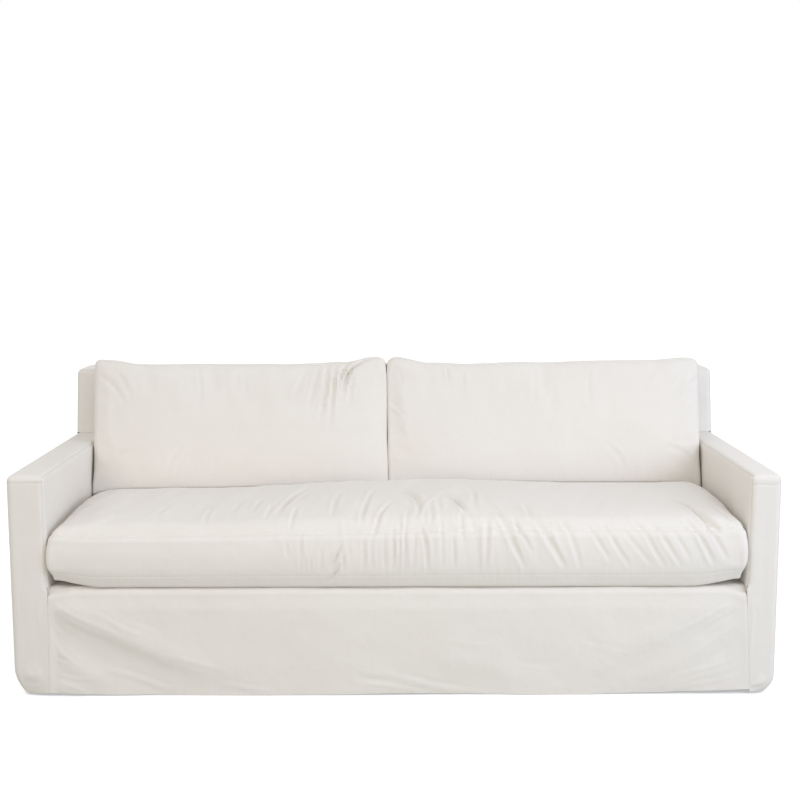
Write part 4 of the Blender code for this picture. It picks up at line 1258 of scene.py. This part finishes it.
def seat_cushion():
    settings = bpy.context.scene.slipcover_sewing
    lower = SEAT_LOWER_SEAM

    def relief(place):
        x, y, z = place.T
        on_top = near(z, SEAT_SEAM)
        up = np.where(on_top, SEAT_SEAM + y, z)
        on_front = near(y, SEAT_FRONT) | on_top
        height = np.where(on_front, crease_height(SEAT_CREASES, x, up), 0.0)
        height += (np.where(on_top, SEAT_LOOSENESS["top"], SEAT_LOOSENESS["sides"])
                   * slack(x + 2 * z, y + z, 7))
        # fine upright gathers over the seam
        gather = (lumps(x + 0.15 * up, up, (0.011, 0.16), 17)
                  + 0.6 * lumps(x - 0.2 * up, up, (0.019, 0.12), 18))
        where = (np.exp(-((x - GATHER_AT[0]) / GATHER_REACH[0]) ** 2)
                 * np.exp(-((up - GATHER_AT[1]) / GATHER_REACH[1]) ** 2))
        height += np.where(on_front, GATHER_HEIGHT * gather * where, 0.0)
        soft = lumps(x - 0.35 * y, y, (0.040, 0.16), 19)
        soft *= smooth((y - 0.02) / 0.06) * smooth((0.62 - y) / 0.2)
        height += np.where(on_top, GATHER_HEIGHT * soft, 0.0)
        side = np.where(near(y, SEAT_FRONT) | near(y, SEAT_REAR), x, y)
        to_end = np.minimum(x - SEAT_LEFT, SEAT_RIGHT - x)
        to_long_side = np.minimum(y - SEAT_FRONT, SEAT_REAR - y)
        upper = np.where(on_top, np.minimum(to_long_side, to_end), SEAT_SEAM - z)
        top_side = np.where(on_top, np.where(to_long_side < to_end, x, y), side)
        height += SEAT_SEAM_SHARE["upper"] * seam_line(upper, top_side, settings) * (z > SEAT_BOTTOM + 1e-6)
        wall = (z < SEAT_SEAM - 1e-6) & (z > SEAT_BOTTOM + 1e-6)
        lower_seam = SEAT_SEAM_SHARE["lower"] * seam_line(z - lower, side, settings, 2.0)
        height += np.where(wall, lower_seam, 0.0)
        pressed = smooth((y - UNDER_CUSHIONS + 0.05) / 0.05) * on_top
        return height * smooth((z - SEAT_BOTTOM + 0.004) / 0.03) * (1 - pressed)

    xs = graded(SEAT_LEFT, SEAT_RIGHT, 0.0046, 0.003, 0.003, 1.2)
    ys = joined(graded(SEAT_FRONT, 0.10, 0.0058, 0.0016, None, 1.3), graded(0.10, 0.34, 0.0085),
                graded(0.34, SEAT_REAR, 0.030, 0.010, 0.006, 1.4))
    zs = joined(graded(SEAT_BOTTOM, lower - 0.006, 0.0060), graded(lower - 0.006, lower + 0.006, 0.0020),
                graded(lower + 0.006, SEAT_SEAM, 0.0064, None, 0.0016, 1.4))
    coarse = (graded(SEAT_LEFT, SEAT_RIGHT, 0.012), graded(SEAT_FRONT, SEAT_REAR, 0.012),
              graded(SEAT_BOTTOM, SEAT_SEAM, 0.012))
    places, points, normals = make_cushion(
        "seat_cushion", coarse, (xs, ys, zs), seat_shape,
        lambda p: near(p[:, 2], SEAT_BOTTOM) | near(p[:, 1], SEAT_REAR),
        lambda p: smooth((p[:, 2] - lower - 0.012) / 0.05) * smooth((UNDER_CUSHIONS - 0.04 - p[:, 1]) / 0.05),
        relief, 1.0, 1)
    x, y, z = places.T
    for seam, wall, along in ((SEAT_SEAM - STITCH_INSET, near(x, SEAT_LEFT), y),
                              (SEAT_SEAM - STITCH_INSET, near(x, SEAT_RIGHT), y),
                              (lower, near(y, SEAT_FRONT), x)):
        stitch_line(points, normals, near(z, nearest(zs, seam)) & wall, along)


def back_cushion(side, outer, ears):
    settings = bpy.context.scene.slipcover_sewing
    width = abs(outer) - 0.02
    base = outer if outer < 0 else 0.0

    def relief(place):
        share, depth, height = place.T
        x = base + share * width + (0.0 if outer < 0 else CUSHION_JOIN_FOOT)
        front = near(depth, 0.0)
        total = np.where(front, crease_height(BACK_CREASES, x, height), 0.0)
        total += 1.5 * slack(x + 2 * depth, height + depth, 27 + len(side))
        total *= smooth(height / 0.05)
        pull = lumps(x + 0.2 * height, height, (0.030, 0.17), 37 + len(side))
        top = smooth((height - 0.14) / 0.14)
        total += np.where(front, GATHER_HEIGHT * pull * top, 0.0)
        edge = np.minimum.reduce([share * width, (1 - share) * width, height, CUSHION_HEIGHT - height])
        along = np.where(np.minimum(share, 1 - share) * width < np.minimum(height, CUSHION_HEIGHT - height),
                         height, x)
        away = np.where(front, edge, depth)
        return total + np.where(depth < 0.05, seam_line(away, along, settings, len(side)), 0.0)

    thin = 0.0014 / width
    shares = graded(0.0, 1.0, 0.0062 / width, thin, thin, 1.25)
    depths = graded(0.0, CUSHION_THICK, 0.010, 0.0014, 0.006, 1.3)
    heights = graded(0.0, CUSHION_HEIGHT, 0.0062, 0.0014, 0.0014, 1.25)
    coarse = (graded(0.0, 1.0, 0.011 / width), graded(0.0, CUSHION_THICK, 0.011),
              graded(0.0, CUSHION_HEIGHT, 0.011))
    places, points, normals = make_cushion(
        "back_cushion_" + side, coarse, (shares, depths, heights), back_cushion_shape(outer, ears),
        lambda p: near(p[:, 1], CUSHION_THICK) | near(p[:, 2], 0.0),
        lambda p: (smooth((p[:, 2] - 0.05) / 0.12) * smooth((CUSHION_HEIGHT + 0.01 - p[:, 2]) / 0.04)
                   * smooth(np.minimum(p[:, 0], 1 - p[:, 0]) * width / 0.05)),
        relief, width, len(side))
    share, depth, height = places.T
    in_row = near(depth, nearest(depths, STITCH_INSET))
    for edge, along in ((near(height, CUSHION_HEIGHT), share), (near(share, 0.0), height),
                        (near(share, 1.0), height)):
        stitch_line(points, normals, in_row & edge, along)


# ---- stitches ----

def stitch_tree():
    """Lockstitches along every line of a mesh: one grain of thread for each stitch."""
    tree = bpy.data.node_groups.new("Lockstitch rows", "GeometryNodeTree")
    add = partial(add_node, tree)
    for name, kind in (("Geometry", "Geometry"), ("Pitch", "Float"), ("Length", "Float"),
                       ("Thread Radius", "Float"), ("Thread", "Material")):
        tree.interface.new_socket(name=name, in_out="INPUT", socket_type="NodeSocket" + kind)
    tree.interface.new_socket(name="Geometry", in_out="OUTPUT", socket_type="NodeSocketGeometry")
    given = add("NodeGroupInput").outputs
    line = add("GeometryNodeMeshToCurve", {"Mesh": given["Geometry"]})
    places = add("GeometryNodeCurveToPoints", {"Curve": line.outputs["Curve"], "Length": given["Pitch"]},
                 mode="LENGTH")
    grain = add("GeometryNodeMeshUVSphere", {"Segments": 6, "Rings": 4, "Radius": 1.0})
    half = add("ShaderNodeMath", {0: given["Length"], 1: 0.5}, operation="MULTIPLY")
    size = add("ShaderNodeCombineXYZ", {"X": given["Thread Radius"], "Y": given["Thread Radius"],
                                        "Z": half.outputs[0]})
    shaped = add("GeometryNodeTransform", {"Geometry": grain.outputs["Mesh"],
                                           "Scale": size.outputs["Vector"]})
    spread = add("GeometryNodeInstanceOnPoints", {"Points": places.outputs["Points"],
                                                  "Instance": shaped.outputs["Geometry"],
                                                  "Rotation": places.outputs["Rotation"]})
    solid = add("GeometryNodeRealizeInstances", {"Geometry": spread.outputs["Instances"]})
    finish = add("GeometryNodeSetMaterial", {"Geometry": solid.outputs["Geometry"],
                                             "Material": given["Thread"]})
    add("NodeGroupOutput", {"Geometry": finish.outputs["Geometry"]})
    return tree


def sew_rows(group):
    """One piece of all the topstitching of a group."""
    sewing = bpy.context.scene.slipcover_sewing
    points, edges = [], []
    for row in stitch_rows[group]:
        start = len(points)
        points += (row - ORIGIN).tolist()
        edges += [(k, k + 1) for k in range(start, len(points) - 1)]
    mesh = bpy.data.meshes.new(group + "_stitch_lines")
    mesh.from_pydata(points, edges, [])
    lines = link(group + "_stitch_lines", mesh)
    maker = lines.modifiers.new("Lockstitch rows", "NODES")
    maker.node_group = stitch_tree()
    values = {"Pitch": sewing.stitch_pitch, "Length": sewing.stitch_length,
              "Thread Radius": sewing.thread_radius, "Thread": thread_material()}
    for item in maker.node_group.interface.items_tree:
        if item.in_out == "INPUT" and item.name in values:
            maker[item.identifier] = values[item.name]
    ready = lines.evaluated_get(bpy.context.evaluated_depsgraph_get())
    sewn = bpy.data.meshes.new_from_object(ready)
    sewn.name = group + "_topstitching"
    sewn.shade_smooth()
    piece = link(group + "_topstitching", sewn)
    bpy.data.objects.remove(lines)
    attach(piece, "root")


# ---- operators ----

class SLIPCOVER_OT_arms(bpy.types.Operator):
    """Sews the outside, top, inside and front panel of both arms"""
    bl_idname = "slipcover.arms"
    bl_label = "Arm Panels"

    def execute(self, context):
        for arm in ARMS:
            outside_arm(arm)
            arm_top(arm)
            inside_arm(arm)
            arm_front(arm)
        return {"FINISHED"}


class SLIPCOVER_OT_back(bpy.types.Operator):
    """Sews the inside back, the top strip, its two ends and the outside back"""
    bl_idname = "slipcover.back"
    bl_label = "Back Panels"

    def execute(self, context):
        inside_back()
        back_top()
        for arm in ARMS:
            back_side(arm)
        outside_back()
        return {"FINISHED"}


class SLIPCOVER_OT_skirt(bpy.types.Operator):
    """Lays the deck and drapes the front skirt with its long folds"""
    bl_idname = "slipcover.skirt"
    bl_label = "Deck and Front Skirt"

    def execute(self, context):
        deck()
        front_skirt()
        return {"FINISHED"}


class SLIPCOVER_OT_seat(bpy.types.Operator):
    """Fills the boxed bench seat cushion"""
    bl_idname = "slipcover.seat"
    bl_label = "Seat Cushion"

    def execute(self, context):
        seat_cushion()
        return {"FINISHED"}


class SLIPCOVER_OT_back_cushions(bpy.types.Operator):
    """Fills the two leaning back cushions"""
    bl_idname = "slipcover.back_cushions"
    bl_label = "Back Cushions"

    def execute(self, context):
        back_cushion("left", SEAT_LEFT, LEFT_EARS)
        back_cushion("right", SEAT_RIGHT, RIGHT_EARS)
        return {"FINISHED"}


class SLIPCOVER_OT_stitching(bpy.types.Operator):
    """Runs the topstitching along the seams and hems"""
    bl_idname = "slipcover.stitching"
    bl_label = "Topstitching"

    def execute(self, context):
        sew_rows("cover")
        sew_rows("cushions")
        return {"FINISHED"}


class SLIPCOVER_OT_stage(bpy.types.Operator):
    """Sets the pale floor, the soft lights and the camera"""
    bl_idname = "slipcover.stage"
    bl_label = "Stage"

    def execute(self, context):
        scene = context.scene
        studio = scene.slipcover_studio
        low = min(row[1] for row in FRONT_HEM) - FLOOR_GAP
        mesh = bpy.data.meshes.new("studio_floor")
        mesh.from_pydata([(x * FLOOR_REACH, y * FLOOR_REACH, low - ORIGIN[2]) for x, y in
                          ((-1, -1), (1, -1), (1, 1), (-1, 1))], [], [(0, 1, 2, 3)])
        mesh.materials.append(floor_material())
        link("studio_floor", mesh)

        # A white room all round; the camera itself sees plain white
        world = bpy.data.worlds.new("studio_white")
        world.use_nodes = True
        world.node_tree.nodes.clear()
        add = partial(add_node, world.node_tree)
        seen = add("ShaderNodeLightPath").outputs["Is Camera Ray"]
        power = add("ShaderNodeMix", {0: seen, 2: studio.surround, 3: 1.0}, data_type="FLOAT")
        surround = add("ShaderNodeBackground", {"Color": (1.0, 1.0, 1.0, 1.0), "Strength": power.outputs[0]})
        add("ShaderNodeOutputWorld", {"Surface": surround.outputs["Background"]})
        scene.world = world

        # name, kind, place or way to it, size in metres or degrees, strength, colour
        lit = Vector((0.0, 0.4, 0.45))
        for name, kind, place, size, strength, colour in (
            ("rear_light", "SUN", (0.15, 0.93, 0.22), 30.0, studio.rear, "#FFFFFF"),
            ("window_right", "AREA", (2.6, -1.9, 2.0), 1.4, studio.window, "#E0EBFF"),
            ("window_side", "AREA", (4.5, -1.4, 1.6), 1.8, 1.15 * studio.window, "#DAE6FF"),
            ("lamp_left", "AREA", (-2.4, -1.7, 2.3), 1.4, studio.lamp, "#FFF7ED"),
            ("lamp_above", "AREA", (0.3, -1.4, 2.7), 1.4, 0.2 * studio.lamp, "#FFFAF4"),
            ("fill_low", "AREA", (0.0, -2.4, 0.55), 1.2, studio.fill, "#FFFCE4"),
        ):
            data = bpy.data.lights.new(name, kind)
            lamp = link(name, data)
            if kind == "SUN":
                data.angle = math.radians(size)
                toward = Vector(place)
                lamp.location = toward * 3
            else:
                data.shape = "DISK"
                data.size = size
                toward = Vector(place) - lit
                lamp.location = Vector(place) - Vector(ORIGIN)
            data.energy = strength
            data.color = linear(colour)
            lamp.rotation_mode = "QUATERNION"
            lamp.rotation_quaternion = toward.to_track_quat("Z", "Y")

        # The camera fitted to the photo
        lens_pixels, picture, sensor = 1229.09, 800, 36.0
        yaw, pitch, roll = 0.0043, 0.1313, 0.0014
        stand = Vector((0.00086, -3.3036, 1.3069))
        ahead = Vector((math.sin(yaw) * math.cos(pitch), math.cos(yaw) * math.cos(pitch), -math.sin(pitch)))
        level = Vector((math.cos(yaw), -math.sin(yaw), 0.0))
        below = ahead.cross(level)
        right = math.cos(roll) * level + math.sin(roll) * below
        down = math.cos(roll) * below - math.sin(roll) * level
        pose = Matrix((right, -down, -ahead)).transposed().to_4x4()
        pose.translation = stand - Vector(ORIGIN)
        data = bpy.data.cameras.new("photo_camera")
        data.sensor_width = sensor
        data.lens = lens_pixels * sensor / picture
        scene.camera = link("photo_camera", data)
        scene.camera.matrix_world = pose
        scene.view_settings.view_transform = "Standard"
        return {"FINISHED"}


# ---- settings and panel ----

class SlipcoverSewing(bpy.types.PropertyGroup):
    seam_depth: FloatProperty(name="Seam Depth", description="How far the cloth dips into a seam",
                              default=0.0006, min=0.0, unit="LENGTH")
    pucker: FloatProperty(name="Pucker", description="Height of the small puckers beside a seam",
                          default=0.0006, min=0.0, unit="LENGTH")
    creasing: FloatProperty(name="Creasing", description="Strength of the creases laid by hand",
                            default=0.80, min=0.0, max=2.0, subtype="FACTOR")
    looseness: FloatProperty(name="Looseness", description="Strength of the small waves of loose cloth",
                             default=1.0, min=0.0, max=3.0, subtype="FACTOR")
    stitch_pitch: FloatProperty(name="Stitch Pitch", description="From one topstitch to the next",
                                default=0.0045, min=0.001, unit="LENGTH")
    stitch_length: FloatProperty(name="Stitch Length", description="Thread seen in one topstitch",
                                 default=0.0034, min=0.0005, unit="LENGTH")
    thread_radius: FloatProperty(name="Thread Radius", description="Half the thickness of the thread",
                                 default=0.00045, min=0.0001, unit="LENGTH")


class SlipcoverColours(bpy.types.PropertyGroup):
    cotton: FloatVectorProperty(name="Cotton", description="Colour of the washed canvas", subtype="COLOR",
                                size=3, default=linear("#EAE6E1"), min=0.0, max=1.0)
    cotton_shade: FloatVectorProperty(name="Cotton, Greyer", description="Colour where the wash left it grey",
                                      subtype="COLOR", size=3, default=linear("#E7E2DC"), min=0.0, max=1.0)
    thread: FloatVectorProperty(name="Thread", description="Colour of the topstitching", subtype="COLOR",
                                size=3, default=linear("#F2EFE8"), min=0.0, max=1.0)


class SlipcoverFilling(bpy.types.PropertyGroup):
    pressure: FloatProperty(name="Pressure", description="How hard the filling pushes", default=4.0, min=0.0)
    spare_cloth: FloatProperty(name="Spare Cloth", description="How much larger a cover is than its filling",
                               default=0.035, min=0.0, max=0.2, subtype="FACTOR")
    stiffness: FloatProperty(name="Stiffness", description="How much the canvas resists a bend",
                             default=1.5, min=0.0)
    swell_limit: FloatProperty(name="Swell Limit", description="The furthest a point of the cover may move",
                               default=0.024, min=0.0, unit="LENGTH")
    wrinkling: FloatProperty(name="Wrinkling", description="Strength of the wrinkles of the filled cover",
                             default=0.6, min=0.0, max=2.0, subtype="FACTOR")
    fill: FloatProperty(name="Fill", description="From 0, slack, to 1, tight", default=0.75, min=0.0, max=1.0)


class SlipcoverStudio(bpy.types.PropertyGroup):
    rear: FloatProperty(name="Rear Light", description="Strength of the low light behind the back",
                        default=0.7, min=0.0)
    window: FloatProperty(name="Window", description="Watts of the cool light from the right",
                          default=30.0, min=0.0)
    lamp: FloatProperty(name="Lamp", description="Watts of the warm light from the left",
                        default=13.0, min=0.0)
    fill: FloatProperty(name="Low Fill", description="Watts of the low light before the skirt",
                        default=9.0, min=0.0)
    surround: FloatProperty(name="Surround", description="Brightness of the white room",
                            default=0.725, min=0.0)


class SLIPCOVER_PT_panel(bpy.types.Panel):
    """The settings and the steps of the slipcover"""
    bl_idname = "SLIPCOVER_PT_panel"
    bl_label = "Sofa Slipcover"
    bl_space_type = "VIEW_3D"
    bl_region_type = "UI"
    bl_category = "Slipcover"

    def draw(self, context):
        for group in (context.scene.slipcover_sewing, context.scene.slipcover_colours,
                      context.scene.slipcover_filling, context.scene.slipcover_studio):
            box = self.layout.box()
            for name in group.__annotations__:
                box.prop(group, name)
        for step in STEPS:
            self.layout.operator(step.bl_idname)


STEPS = (SLIPCOVER_OT_arms, SLIPCOVER_OT_back, SLIPCOVER_OT_skirt, SLIPCOVER_OT_seat,
         SLIPCOVER_OT_back_cushions, SLIPCOVER_OT_stitching, SLIPCOVER_OT_stage)
GROUPS = (("slipcover_sewing", SlipcoverSewing), ("slipcover_colours", SlipcoverColours),
          ("slipcover_filling", SlipcoverFilling), ("slipcover_studio", SlipcoverStudio))


def register():
    for name, group in GROUPS:
        bpy.utils.register_class(group)
        setattr(bpy.types.Scene, name, PointerProperty(type=group))
    for step in STEPS:
        bpy.utils.register_class(step)
    bpy.utils.register_class(SLIPCOVER_PT_panel)


def unregister():
    bpy.utils.unregister_class(SLIPCOVER_PT_panel)
    for step in reversed(STEPS):
        bpy.utils.unregister_class(step)
    for name, group in reversed(GROUPS):
        delattr(bpy.types.Scene, name)
        bpy.utils.unregister_class(group)


def main():
    register()
    bpy.ops.slipcover.arms()
    bpy.ops.slipcover.back()
    bpy.ops.slipcover.skirt()
    bpy.ops.slipcover.seat()
    bpy.ops.slipcover.back_cushions()
    bpy.ops.slipcover.stitching()
    bpy.ops.slipcover.stage()


if __name__ == "__main__":
    main()
